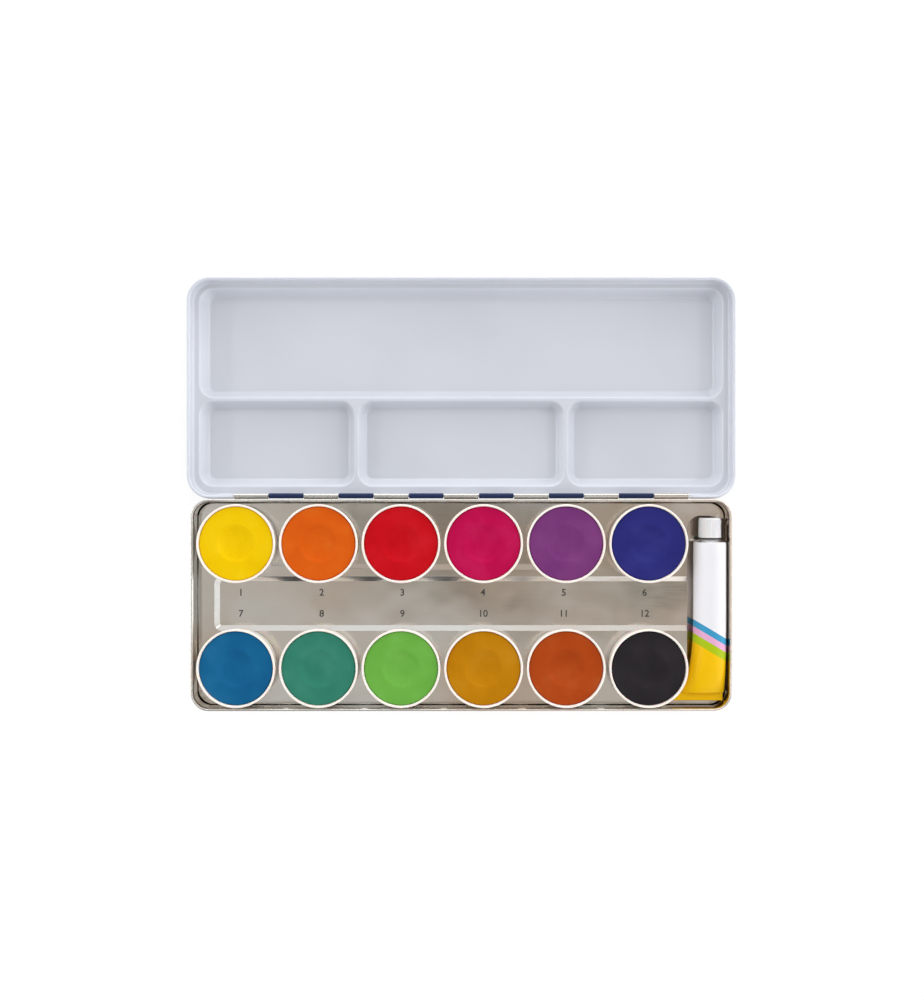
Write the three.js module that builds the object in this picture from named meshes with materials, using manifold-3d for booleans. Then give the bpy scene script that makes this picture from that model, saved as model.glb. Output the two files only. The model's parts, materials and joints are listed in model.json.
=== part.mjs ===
// Watercolour pan set: a hinged tin with twelve round pans of paint and a tube of white.
// Millimetres, +Z up, the lid opened flat. The origin is under the middle of the open set.

import * as THREE from 'three';
import Module from 'manifold-3d';
import { mergeVertices } from 'three/addons/utils/BufferGeometryUtils.js';

const wasm = await Module();
wasm.setup();

// ---- driving dimensions ----

const SHEET = 0.4; // tinplate thickness
const GAP = 0.3; // clearance between neighbouring pieces
const WELD = 1e-4; // points closer than this are one

const BASE = { length: 207, width: 81, height: 11.5, corner: 7 }; // over the rolled rim
const BASE_RIM = { out: 0.9, high: 1.3 }; // how far the rolled rim stands out, and its height

const LID = { length: 210.5, width: 85.14, depth: 10, corner: 9 }; // over the rolled rim
const LID_RIM = { out: 1, high: 1.3 };
const LEDGE_DEPTH = 4.6; // from the lid's rim down to the ledge round the mixing wells
const WELL_SLOPE = 3.8; // plan width of a well's pressed side
const WELL_CORNER = 5;
const WELL_SIDE = 101.9; // half length of the area that holds the wells
const WELL_NEAR = 3.4; // from the hinge axis to the nearest well edge
const WELL_FAR = 80.8; // from the hinge axis to the furthest well edge
const LONG_RIDGE = { at: 37.4, half: 0.7 }; // ridge along the lid, from the hinge axis
const CROSS_RIDGE = { at: 40.6, half: 0.6 }; // two ridges across, each side of the middle

const KNUCKLES = 13; // hinge segments, base and lid by turns
const KNUCKLE_PITCH = 13.4;
const BARREL = 1; // radius of the rolled hinge barrel
const WIRE = 0.5; // radius of the hinge wire
const LEAF = 0.6; // thickness of the leaf behind a base knuckle
const AXIS_HEIGHT = LID.depth; // the open lid lies flat on the table
const AXIS_TO_BASE = 1.28; // from the hinge axis to the base's rolled rim
const AXIS_TO_LID = 1.09; // how far the open lid's rim reaches past the axis

const PAN = { radius: 15, foot: 14.4, height: 8, wall: 0.8, floor: 2.4, skin: 1 };
const PAN_PITCH = 31.42; // along a row
const PAN_FIRST = -85.75; // first pan of a row, from the middle of the base
const PAN_ROWS = [23.6, -23.9]; // from the middle of the base; the rows sit a little forward
const PANS_PER_ROW = 6;
const CAKE = { radius: 13.85, foot: 13.55, top: 7.3, edge: 0.5 };
const DIMPLE = { radius: 6.8, deep: 1.1, bend: { radius: 4.1, deep: 0.9 } }; // in a cake's middle

const PLATE_TOP = 5; // top of the insert tray
const TRAY_SIDE = 101.9; // half length of the tray
const TRAY_HALF = 38.9; // half width of the tray
const TRAY_CORNER = 6;
const TRAY_FOOT = SHEET + GAP; // underside of the tray's turned-down edge
const BOSS = { radius: 12.9, high: 0.9, sides: 16 }; // stands inside a pan's hollow foot
const CHANNEL = { left: -95.9, right: 92, half: 10.6, deep: 1.2, slope: 2.1, corner: 2.4 };
const TUBE_WELL = { left: 87.6, near: -34.5, far: 34.2, corner: 5 };

const TUBE = { x: 95.7, z: 7.9, radius: 6.2, end: -37, shoulder: 24.1, wall: 0.4 };
// Half thickness, widening and shift to the left, and the powers by which they come on.
const CRIMP = { half: 0.6, spread: 0.55, lean: 1.3, widening: 6.5, flattening: 8 };
const NECK = { radius: 3, bore: 2, start: 25.3, end: 31, step: { out: 0.6, high: 0.2 } };
const CAP = { radius: 4.35, start: 25.7, end: 33.3, top: 1.6, chamfer: 0.4 };
const PAINT_FILL = { start: 0.02, end: 0.8, radius: 5.4 }; // in fractions of the tube's length
const LINING_END = 0.9; // where the hollow ends, likewise

const ROUND = 24; // sides of a round piece
const ARC = 3; // half the steps of a corner's quarter turn

// ---- places worked out from them ----

const AXIS_Y = (AXIS_TO_BASE + BASE.width - (LID.width - AXIS_TO_LID)) / 2;
const BASE_Y = AXIS_Y - AXIS_TO_BASE - BASE.width / 2; // middle of the base
const LID_Y = AXIS_Y - AXIS_TO_LID + LID.width / 2; // middle of the lid
const WALL = { length: BASE.length - 2 * BASE_RIM.out, width: BASE.width - 2 * BASE_RIM.out };
const SKIRT = { length: LID.length - 2 * LID_RIM.out, width: LID.width - 2 * LID_RIM.out };
const LEDGE_TOP = LID.depth - LEDGE_DEPTH;
const PAN_BASE = PLATE_TOP + GAP;

// ---- solids ----

/** A closed solid from a three.js geometry, turned outward if it was inside out. */
function solid(geometry) {
  const bare = geometry.index ? geometry.toNonIndexed() : geometry.clone();
  bare.deleteAttribute('normal');
  bare.deleteAttribute('uv');
  const merged = mergeVertices(bare, WELD);
  const triVerts = new Uint32Array(merged.index.array);
  const vertProperties = new Float32Array(merged.attributes.position.array);
  const made = new wasm.Manifold(new wasm.Mesh({ numProp: 3, vertProperties, triVerts }));
  if (made.volume() > 0) return made;
  for (let i = 0; i < triVerts.length; i += 3) {
    [triVerts[i], triVerts[i + 1]] = [triVerts[i + 1], triVerts[i]];
  }
  return new wasm.Manifold(new wasm.Mesh({ numProp: 3, vertProperties, triVerts }));
}

/** The three.js geometry of a solid. */
function geometryOf(body) {
  const mesh = body.getMesh();
  const geometry = new THREE.BufferGeometry();
  geometry.setAttribute('position', new THREE.BufferAttribute(mesh.vertProperties, 3));
  geometry.setIndex(new THREE.BufferAttribute(mesh.triVerts, 1));
  geometry.computeVertexNormals();
  return geometry;
}

/** A rectangle with round corners, centred on the origin. */
function roundedOutline(length, width, corner) {
  const x = length / 2;
  const y = width / 2;
  const outline = new THREE.Shape();
  outline.moveTo(x, y - corner);
  outline.absarc(x - corner, y - corner, corner, 0, Math.PI / 2);
  outline.absarc(corner - x, y - corner, corner, Math.PI / 2, Math.PI);
  outline.absarc(corner - x, corner - y, corner, Math.PI, 1.5 * Math.PI);
  outline.absarc(x - corner, corner - y, corner, 1.5 * Math.PI, 2 * Math.PI);
  return outline;
}

/** An upright block with round corners from bottom to top. */
function block(length, width, corner, bottom, top, x = 0, y = 0) {
  const outline = roundedOutline(length, width, corner);
  const options = { depth: top - bottom, bevelEnabled: false, curveSegments: ARC };
  return solid(new THREE.ExtrudeGeometry(outline, options).translate(x, y, bottom));
}

/** A block whose sides lean in by slope over its depth, below and above its mid height. */
function taperedBlock(length, width, corner, slope, bottom, depth, x, y) {
  const outline = roundedOutline(length, width, corner);
  const options = {
    depth: SHEET,
    curveSegments: ARC,
    bevelSegments: 1,
    bevelThickness: depth,
    bevelSize: slope,
    bevelOffset: -slope,
  };
  return solid(new THREE.ExtrudeGeometry(outline, options).translate(x, y, bottom + depth));
}

/** A solid of revolution about Z from [radius, height] pairs that start and end on the axis. */
function turned(profile, sides = ROUND) {
  const points = profile.map(([radius, height]) => new THREE.Vector2(radius, height));
  return solid(new THREE.LatheGeometry(points, sides).rotateX(Math.PI / 2));
}

/** A round bar along X, centred on x, with its axis on the hinge line. */
function hingeBar(radius, length, x, sides) {
  const bar = new THREE.CylinderGeometry(radius, radius, length, sides);
  return solid(bar.rotateZ(Math.PI / 2).translate(x, AXIS_Y, AXIS_HEIGHT));
}

/** A plain box from its size and middle. */
function box(length, width, height, x, y, z) {
  return solid(new THREE.BoxGeometry(length, width, height).translate(x, y, z));
}

// ---- hinge ----

/** The hinge segments of one half: 0 for the base's, 1 for the lid's. */
function segments(half) {
  const middle = (KNUCKLES - 1) / 2;
  return Array.from({ length: KNUCKLES }, (_, k) => k)
    .filter((k) => k % 2 === half)
    .map((k) => (k - middle) * KNUCKLE_PITCH);
}

/** Adds one half's knuckles, clears room for the other half's, and bores for the wire. */
function withKnuckles(body, half, webOf) {
  let result = body;
  for (const x of segments(1 - half)) {
    result = result.subtract(hingeBar(BARREL + GAP, KNUCKLE_PITCH + GAP, x, ROUND / 2));
  }
  for (const x of segments(half)) {
    result = result.add(hingeBar(BARREL, KNUCKLE_PITCH - GAP, x, ROUND / 2));
    result = result.add(webOf(x));
  }
  return result.subtract(hingeBar(WIRE + GAP, KNUCKLES * KNUCKLE_PITCH + 2, 0, ROUND / 2));
}

/** The leaf that joins a base knuckle to the base's back wall. */
function baseLeaf(x) {
  const near = AXIS_Y - AXIS_TO_BASE - BASE_RIM.out - SHEET / 2;
  const far = AXIS_Y - WIRE - GAP;
  return box(KNUCKLE_PITCH - GAP, far - near, LEAF, x, (near + far) / 2, AXIS_HEIGHT);
}

/** The leaf that joins a lid knuckle to the lid's back skirt, below the barrel. */
function lidLeaf(x) {
  const near = AXIS_Y - AXIS_TO_LID + LID_RIM.out;
  const low = AXIS_HEIGHT - BARREL - SHEET;
  const high = AXIS_HEIGHT - WIRE - GAP;
  return box(KNUCKLE_PITCH - GAP, SHEET, high - low, x, near + SHEET / 2, (low + high) / 2);
}

// ---- base tin and its insert ----

function baseTin() {
  const inside = 2 * SHEET;
  const rimBottom = BASE.height - BASE_RIM.high;
  const wallCorner = BASE.corner - BASE_RIM.out;
  let tin = block(WALL.length, WALL.width, wallCorner, 0, BASE.height, 0, BASE_Y);
  tin = tin.add(block(BASE.length, BASE.width, BASE.corner, rimBottom, BASE.height, 0, BASE_Y));
  tin = tin.subtract(block(WALL.length - inside, WALL.width - inside, wallCorner - SHEET,
    SHEET, BASE.height + 1, 0, BASE_Y));
  return withKnuckles(tin, 0, baseLeaf);
}

/** The brush channel's hollow; grow makes the sheet round it. */
function channelHollow(grow) {
  const length = CHANNEL.right - CHANNEL.left + 2 * grow;
  const floor = PLATE_TOP - CHANNEL.deep - grow;
  const middle = (CHANNEL.left + CHANNEL.right) / 2;
  return taperedBlock(length, 2 * (CHANNEL.half + grow), CHANNEL.corner, CHANNEL.slope,
    floor, CHANNEL.deep, middle, BASE_Y);
}

function insertTray() {
  const corner = TRAY_CORNER;
  const length = 2 * TRAY_SIDE;
  const width = 2 * TRAY_HALF;
  const inside = 2 * SHEET;
  let tray = block(length, width, corner, TRAY_FOOT, PLATE_TOP, 0, BASE_Y);
  tray = tray.subtract(block(length - inside, width - inside, corner - SHEET,
    TRAY_FOOT - 1, PLATE_TOP - SHEET, 0, BASE_Y));
  const plateBlock = block(length, width, corner, TRAY_FOOT, PLATE_TOP, 0, BASE_Y);
  tray = tray.add(channelHollow(SHEET).intersect(plateBlock));
  // The tube's well is open on the right, where the base's wall closes it.
  const wellWidth = TUBE_WELL.far - TUBE_WELL.near;
  const wellLength = 2 * (TRAY_SIDE - TUBE_WELL.left);
  const wellY = BASE_Y + (TUBE_WELL.far + TUBE_WELL.near) / 2;
  const pocket = block(wellLength + inside, wellWidth + inside, TUBE_WELL.corner + SHEET,
    TRAY_FOOT, PLATE_TOP, TRAY_SIDE, wellY);
  tray = tray.add(pocket.intersect(plateBlock));
  tray = tray.subtract(block(wellLength, wellWidth, TUBE_WELL.corner,
    TRAY_FOOT + SHEET, PLATE_TOP + 1, TRAY_SIDE, wellY));
  tray = tray.subtract(channelHollow(0)); // its right end opens into the tube's well
  const boss = turned([[0, PLATE_TOP - SHEET / 2], [BOSS.radius, PLATE_TOP - SHEET / 2],
    [BOSS.radius, PLATE_TOP + BOSS.high], [0, PLATE_TOP + BOSS.high]], BOSS.sides);
  for (const place of panPlaces()) tray = tray.add(boss.translate([place.x, place.y, 0]));
  return tray;
}

// ---- lid ----

/** The four mixing wells: middle and size of each, in the lid's plane. */
function wells() {
  const far = AXIS_Y + WELL_FAR;
  const near = AXIS_Y + WELL_NEAR;
  const ridgeFar = AXIS_Y + LONG_RIDGE.at + LONG_RIDGE.half;
  const ridgeNear = AXIS_Y + LONG_RIDGE.at - LONG_RIDGE.half;
  const inner = CROSS_RIDGE.at - CROSS_RIDGE.half;
  const outer = CROSS_RIDGE.at + CROSS_RIDGE.half;
  const spans = [
    [-WELL_SIDE, WELL_SIDE, ridgeFar, far],
    [-WELL_SIDE, -outer, near, ridgeNear],
    [-inner, inner, near, ridgeNear],
    [outer, WELL_SIDE, near, ridgeNear],
  ];
  return spans.map(([left, right, front, back]) => ({
    x: (left + right) / 2,
    y: (front + back) / 2,
    length: right - left,
    width: back - front,
  }));
}

function lidShell() {
  const skirtCorner = LID.corner - LID_RIM.out;
  const rimBottom = LID.depth - LID_RIM.high;
  const inside = 2 * SHEET;
  let lid = block(SKIRT.length, SKIRT.width, skirtCorner, LEDGE_TOP - SHEET, LID.depth, 0, LID_Y);
  lid = lid.add(block(LID.length, LID.width, LID.corner, rimBottom, LID.depth, 0, LID_Y));
  for (const well of wells()) {
    lid = lid.add(taperedBlock(well.length + inside, well.width + inside, WELL_CORNER,
      WELL_SLOPE, 0, LEDGE_TOP - SHEET, well.x, well.y));
  }
  lid = lid.subtract(block(SKIRT.length - inside, SKIRT.width - inside, skirtCorner - SHEET,
    LEDGE_TOP, LID.depth + 1, 0, LID_Y));
  for (const well of wells()) {
    lid = lid.subtract(taperedBlock(well.length, well.width, WELL_CORNER, WELL_SLOPE,
      SHEET, LEDGE_TOP - SHEET, well.x, well.y));
  }
  return withKnuckles(lid, 1, lidLeaf);
}

// ---- pans ----

/** The twelve pans' middles: the back row from left to right, then the front row. */
function panPlaces() {
  return PAN_ROWS.flatMap((row) =>
    Array.from({ length: PANS_PER_ROW }, (_, k) => ({
      x: PAN_FIRST + k * PAN_PITCH,
      y: BASE_Y + row,
    })));
}

function panCup() {
  const inner = PAN.radius - PAN.wall;
  const innerFoot = CAKE.foot + GAP;
  return turned([
    [0, PAN.floor - PAN.skin],
    [PAN.foot - PAN.skin, PAN.floor - PAN.skin],
    [PAN.foot - PAN.skin, 0],
    [PAN.foot, 0],
    [PAN.radius, PAN.height],
    [inner, PAN.height],
    [innerFoot, PAN.floor],
    [0, PAN.floor],
  ]);
}

function paintCake() {
  return turned([
    [0, PAN.floor + GAP],
    [CAKE.foot, PAN.floor + GAP],
    [CAKE.radius, CAKE.top - CAKE.edge],
    [CAKE.radius - CAKE.edge, CAKE.top],
    [DIMPLE.radius, CAKE.top],
    [DIMPLE.bend.radius, CAKE.top - DIMPLE.bend.deep],
    [0, CAKE.top - DIMPLE.deep],
  ]);
}

// ---- tube of white ----

/** Flattens a round tube along Y towards its crimp, with its right side almost straight. */
function crimped(geometry) {
  const position = geometry.attributes.position;
  for (let i = 0; i < position.count; i += 1) {
    const y = position.getY(i);
    const along = Math.max(0, (TUBE.shoulder - y) / (TUBE.shoulder - TUBE.end));
    const wide = 1 + CRIMP.spread * along ** CRIMP.widening;
    const flat = along ** CRIMP.flattening;
    const high = 1 - flat + (flat * CRIMP.half) / TUBE.radius;
    const x = position.getX(i) * wide - TUBE.radius * (wide - 1) - CRIMP.lean * flat;
    position.setXYZ(i, TUBE.x + x, BASE_Y + y, TUBE.z + position.getZ(i) * high);
  }
  return solid(geometry);
}

/** [radius, y] pairs down the tube from one fraction of its length to another. */
function tubeSide(radius, from, to, steps) {
  return Array.from({ length: steps + 1 }, (_, k) => {
    const along = from + ((to - from) * k) / steps;
    return [radius, TUBE.shoulder + along * (TUBE.end - TUBE.shoulder)];
  });
}

/** A solid of revolution about the tube's axis, which runs along Y. */
function tubeTurned(profile) {
  const points = profile.map(([radius, y]) => new THREE.Vector2(radius, y));
  return new THREE.LatheGeometry(points, ROUND);
}

function tubeBody() {
  const inner = TUBE.radius - TUBE.wall;
  const lining = tubeSide(inner, 0, LINING_END, 9);
  const end = lining[lining.length - 1][1];
  return crimped(tubeTurned([
    [0, end],
    ...lining.reverse(),
    [NECK.bore, NECK.start],
    [NECK.bore, NECK.end],
    [NECK.radius, NECK.end],
    [NECK.radius, NECK.start + NECK.step.high],
    [NECK.radius + NECK.step.out, NECK.start],
    ...tubeSide(TUBE.radius, 0, 1, 12),
    [0, TUBE.end],
  ]));
}

function tubePaint() {
  const side = tubeSide(PAINT_FILL.radius, PAINT_FILL.start, PAINT_FILL.end, 6);
  const end = side[side.length - 1][1];
  return crimped(tubeTurned([
    [0, side[0][1]],
    ...side,
    [0, end],
  ]));
}

function tubeCap() {
  const bore = NECK.radius + GAP;
  const profile = tubeTurned([
    [0, CAP.end - CAP.top],
    [bore, CAP.end - CAP.top],
    [bore, CAP.start],
    [CAP.radius, CAP.start],
    [CAP.radius, CAP.end - CAP.chamfer],
    [CAP.radius - CAP.chamfer, CAP.end],
    [0, CAP.end],
  ]);
  return solid(profile.translate(TUBE.x, BASE_Y, TUBE.z));
}

// ---- the set ----

const tinplate = () => new THREE.MeshStandardMaterial({ color: 0xb9b4aa, roughness: 0.3, metalness: 1 });
const lacquer = () => new THREE.MeshStandardMaterial({ color: 0xd9dce4, roughness: 0.3, metalness: 0 });
const whitePlastic = () => new THREE.MeshStandardMaterial({ color: 0xf1ece6, roughness: 0.4, metalness: 0 });
const paint = (color) => new THREE.MeshStandardMaterial({ color, roughness: 0.9, metalness: 0 });

const PAINTS = [
  0xedc403, 0xd75d13, 0xc3101b, 0xba0f4b, 0x793a77, 0x2c2d74,
  0x165f8b, 0x357e6a, 0x6bad46, 0xbd7c09, 0xac4517, 0x2a282a,
];

const set = new THREE.Group();

/** Adds one named piece to the set. */
function addPiece(name, geometry, material) {
  const mesh = new THREE.Mesh(geometry, material);
  mesh.name = name;
  set.add(mesh);
  return mesh;
}

addPiece('base_tin', geometryOf(baseTin()), tinplate());
addPiece('insert_tray', geometryOf(insertTray()), tinplate());
addPiece('lid_shell', geometryOf(lidShell()), lacquer());
addPiece('hinge_wire', geometryOf(hingeBar(WIRE, KNUCKLES * KNUCKLE_PITCH, 0, ROUND / 2)), tinplate());

const cupGeometry = geometryOf(panCup());
const cakeGeometry = geometryOf(paintCake());
panPlaces().forEach((place, k) => {
  const number = String(k + 1).padStart(2, '0');
  const cup = addPiece(`pan_cup_${number}`, cupGeometry, whitePlastic());
  const cake = addPiece(`paint_cake_${number}`, cakeGeometry, paint(PAINTS[k]));
  cup.position.set(place.x, place.y, PAN_BASE);
  cake.position.set(place.x, place.y, PAN_BASE);
});

addPiece('tube_body', geometryOf(tubeBody()), whitePlastic());
addPiece('tube_paint', geometryOf(tubePaint()), paint(0xf4f4f2));
addPiece('tube_cap', geometryOf(tubeCap()), whitePlastic());

export default set;
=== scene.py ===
"""Watercolour pan set: a hinged tin with twelve round pans, a tube of white and a lid of mixing wells.

Each class below is one sub-assembly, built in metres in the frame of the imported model. Sizes that
are fields are in millimetres unless a comment says metres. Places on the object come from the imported
nodes and joints.
"""

from __future__ import annotations

import json
import logging
import math
from dataclasses import dataclass
from enum import Enum
from typing import Callable, Iterable, Optional, Sequence

import bmesh
import bpy
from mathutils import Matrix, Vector, noise
from mathutils.geometry import tessellate_polygon


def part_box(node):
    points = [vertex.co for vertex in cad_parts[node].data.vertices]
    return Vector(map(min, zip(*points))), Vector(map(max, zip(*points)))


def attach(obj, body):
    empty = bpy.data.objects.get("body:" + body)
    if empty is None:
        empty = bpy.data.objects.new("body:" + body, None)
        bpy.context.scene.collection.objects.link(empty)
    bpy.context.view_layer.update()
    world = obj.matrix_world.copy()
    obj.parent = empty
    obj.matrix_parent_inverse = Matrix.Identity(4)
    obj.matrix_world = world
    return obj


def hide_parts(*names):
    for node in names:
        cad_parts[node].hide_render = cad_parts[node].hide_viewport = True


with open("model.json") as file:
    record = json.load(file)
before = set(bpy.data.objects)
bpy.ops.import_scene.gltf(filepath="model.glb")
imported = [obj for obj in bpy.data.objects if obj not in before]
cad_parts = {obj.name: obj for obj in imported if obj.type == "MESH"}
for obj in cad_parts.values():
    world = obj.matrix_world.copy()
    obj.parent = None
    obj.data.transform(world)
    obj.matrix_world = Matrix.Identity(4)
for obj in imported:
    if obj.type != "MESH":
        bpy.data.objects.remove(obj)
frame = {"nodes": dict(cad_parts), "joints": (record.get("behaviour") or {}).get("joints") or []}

LOG = logging.getLogger("pan_set")
MM = 0.001
SEAM_MM = 0.001  # points closer than this are one point
SMALLEST_CORNER_MM = 0.02

Point = tuple[float, float]
Place = tuple[float, float, float]
Stops = Sequence[tuple[float, str]]
Loop = list[bmesh.types.BMVert]


# ---------------------------------------------------------------- colour and node helpers


def linear(hex_colour: str) -> tuple[float, float, float, float]:
    """Turns an sRGB hex colour into a linear one with full alpha.

    Args:
        hex_colour: six hex digits, without a leading sign.

    Returns:
        Red, green, blue and alpha for a shader socket.
    """
    parts = [int(hex_colour[i : i + 2], 16) / 255 for i in (0, 2, 4)]
    low = [c / 12.92 if c <= 0.04045 else ((c + 0.055) / 1.055) ** 2.4 for c in parts]
    return (low[0], low[1], low[2], 1.0)


def set_stops(ramp: bpy.types.ColorRamp, stops: Stops) -> None:
    """Sets a new colour ramp's stops.

    Args:
        ramp: the ramp, which starts with two stops.
        stops: (position, sRGB hex) pairs in rising order.
    """
    elements = ramp.elements
    elements[0].position, elements[0].color = stops[0][0], linear(stops[0][1])
    elements[1].position, elements[1].color = stops[-1][0], linear(stops[-1][1])
    for position, colour in stops[1:-1]:
        elements.new(position).color = linear(colour)


def add_node(
    material: bpy.types.Material | bpy.types.World,
    kind: str,
    inputs: Optional[dict] = None,
    stops: Stops = (),
    **settings: object,
) -> bpy.types.Node:
    """Adds one shader node with its settings, socket values and links.

    Args:
        material: the material or world that gets the node.
        kind: the node's type name without its ShaderNode prefix.
        inputs: socket name or number to a value, or to a (node, output) pair to link from.
        stops: the stops of a colour ramp, if the node has one.
        settings: properties of the node itself.

    Returns:
        The new node.
    """
    tree = material.node_tree
    node = tree.nodes.new("ShaderNode" + kind)
    for name, value in settings.items():
        setattr(node, name, value)
    for socket, value in (inputs or {}).items():
        if isinstance(value, tuple) and isinstance(value[0], bpy.types.Node):
            tree.links.new(value[0].outputs[value[1]], node.inputs[socket])
        else:
            node.inputs[socket].default_value = value
    if stops:
        set_stops(node.color_ramp, stops)
    return node


def new_material(name: str) -> bpy.types.Material:
    """Makes an empty node material.

    Args:
        name: its name.

    Returns:
        The material, with no nodes.
    """
    material = bpy.data.materials.new(name)
    material.use_nodes = True
    material.node_tree.nodes.clear()
    return material


def finish_material(material: bpy.types.Material, shader: bpy.types.Node) -> bpy.types.Material:
    """Links a shader to the material's output and returns the material."""
    add_node(material, "OutputMaterial", {"Surface": (shader, 0)})
    return material


def per_mm(spacing_mm: float) -> float:
    """The scale of a pattern in metre coordinates whose features are spacing_mm apart."""
    return 1.0 / (spacing_mm * MM)


# ---------------------------------------------------------------- finishes


@dataclass(frozen=True)
class BrightTinplate:
    """Electrolytic tinplate, flow-brightened: soft mirror with fine rolling lines and large patches of
    painted warm reflection.
    """

    name: str = "bright_tinplate"
    neutral_tone: str = "D6D5D1"
    # The warm colour is a painted reflection of warm surroundings, laid on in large patches.
    warm_reflection: str = "D0C5BA"
    reflection_patch_mm: float = 40.0
    rolling_mm: float = 0.5  # drawn coarser than the real 0.05 mm lines, so that they show
    waviness_mm: float = 24.0
    waviness_high_mm: float = 0.5
    line_high_mm: float = 0.01
    line_strength: float = 0.16
    reflection_patch_stretch: Place = (0.5, 1.0, 1.0)  # under 1 draws a pattern out along that axis
    rolling_stretch: Place = (0.06, 1.0, 1.0)
    roughness: Point = (0.13, 0.17)

    def build(self) -> bpy.types.Material:
        """Makes the tinplate material.

        Returns:
            The material.
        """
        made = new_material(self.name)
        place = add_node(made, "TexCoord")
        drawn_out = add_node(
            made, "Mapping", {"Vector": (place, "Object"), "Scale": self.reflection_patch_stretch}
        )
        cloud = add_node(
            made, "TexNoise",
            {"Vector": (drawn_out, 0), "Scale": per_mm(self.reflection_patch_mm), "Detail": 1.0},
        )
        # Painted reflection: large soft patches turn the base colour from neutral to warm.
        tint = add_node(
            made, "ValToRGB", {"Fac": (cloud, "Fac")}, [(0.42, self.neutral_tone), (0.62, self.warm_reflection)]
        )
        stretched = add_node(
            made, "Mapping", {"Vector": (place, "Object"), "Scale": self.rolling_stretch}
        )
        rolling = add_node(
            made, "TexNoise",
            {"Vector": (stretched, 0), "Scale": per_mm(self.rolling_mm), "Detail": 4.0},
        )
        gloss = add_node(
            made, "MapRange",
            {"Value": (rolling, "Fac"), "From Min": 0.3, "From Max": 0.7,
             "To Min": self.roughness[0], "To Max": self.roughness[1]},
        )
        wave = add_node(
            made, "TexNoise",
            {"Vector": (place, "Object"), "Scale": per_mm(self.waviness_mm), "Detail": 1.5},
        )
        waviness = add_node(
            made, "Bump",
            {"Height": (wave, "Fac"), "Strength": 1.0, "Distance": self.waviness_high_mm * MM},
        )
        lines = add_node(
            made, "Bump",
            {"Height": (rolling, "Fac"), "Normal": (waviness, 0), "Strength": self.line_strength,
             "Distance": self.line_high_mm * MM},
        )
        shader = add_node(
            made, "BsdfPrincipled",
            {"Base Color": (tint, "Color"), "Metallic": 1.0, "Roughness": (gloss, "Result"),
             "Normal": (lines, 0)},
        )
        return finish_material(made, shader)


@dataclass(frozen=True)
class StovedLacquer:
    """Stoved enamel on tinplate: an even gloss film with faint orange peel and oil-canned flats."""

    name: str
    colour: str
    shade: str
    roughness: float = 0.3
    coat: float = 0.8
    gloss: float = 0.5
    coat_roughness: float = 0.06
    cloud_mm: float = 45.0
    canning_mm: float = 55.0
    canning_high_mm: float = 0.9
    peel_mm: float = 1.2
    peel_high_mm: float = 0.004

    def build(self) -> bpy.types.Material:
        """Makes the lacquer material.

        Returns:
            The material.
        """
        made = new_material(self.name)
        place = add_node(made, "TexCoord")
        cloud = add_node(
            made, "TexNoise",
            {"Vector": (place, "Object"), "Scale": per_mm(self.cloud_mm), "Detail": 2.0},
        )
        tint = add_node(
            made, "ValToRGB", {"Fac": (cloud, "Fac")}, [(0.35, self.colour), (0.7, self.shade)]
        )
        canning = add_node(
            made, "TexNoise",
            {"Vector": (place, "Object"), "Scale": per_mm(self.canning_mm), "Detail": 1.0},
        )
        wave = add_node(
            made, "Bump",
            {"Height": (canning, "Fac"), "Strength": 1.0, "Distance": self.canning_high_mm * MM},
        )
        peel = add_node(
            made, "TexNoise",
            {"Vector": (place, "Object"), "Scale": per_mm(self.peel_mm), "Detail": 1.0},
        )
        skin = add_node(
            made, "Bump",
            {"Height": (peel, "Fac"), "Normal": (wave, 0), "Strength": 0.5,
             "Distance": self.peel_high_mm * MM},
        )
        shader = add_node(
            made, "BsdfPrincipled",
            {"Base Color": (tint, "Color"), "Roughness": self.roughness, "IOR": 1.5,
             "Specular IOR Level": self.gloss, "Coat Weight": self.coat,
             "Coat Roughness": self.coat_roughness, "Normal": (skin, 0)},
        )
        return finish_material(made, shader)


@dataclass(frozen=True)
class MouldedPlastic:
    """Injection-moulded plastic: a little light passes through it, and the skin is faintly uneven."""

    name: str
    colour: str
    shade: str
    roughness: float = 0.36
    bleed_mm: float = 0.8
    skin_mm: float = 0.9
    skin_high_mm: float = 0.01
    flow_mm: float = 9.0

    def build(self) -> bpy.types.Material:
        """Makes the plastic material.

        Returns:
            The material.
        """
        made = new_material(self.name)
        place = add_node(made, "TexCoord")
        flow = add_node(
            made, "TexNoise",
            {"Vector": (place, "Object"), "Scale": per_mm(self.flow_mm), "Detail": 2.0},
        )
        tint = add_node(
            made, "ValToRGB", {"Fac": (flow, "Fac")}, [(0.35, self.colour), (0.7, self.shade)]
        )
        grain = add_node(
            made, "TexNoise",
            {"Vector": (place, "Object"), "Scale": per_mm(self.skin_mm), "Detail": 3.0},
        )
        skin = add_node(
            made, "Bump",
            {"Height": (grain, "Fac"), "Strength": 0.4, "Distance": self.skin_high_mm * MM},
        )
        shader = add_node(
            made, "BsdfPrincipled",
            {"Base Color": (tint, "Color"), "Roughness": self.roughness, "IOR": 1.58,
             "Subsurface Weight": 0.25, "Subsurface Scale": self.bleed_mm * MM,
             "Normal": (skin, 0)},
        )
        return finish_material(made, shader)


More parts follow.
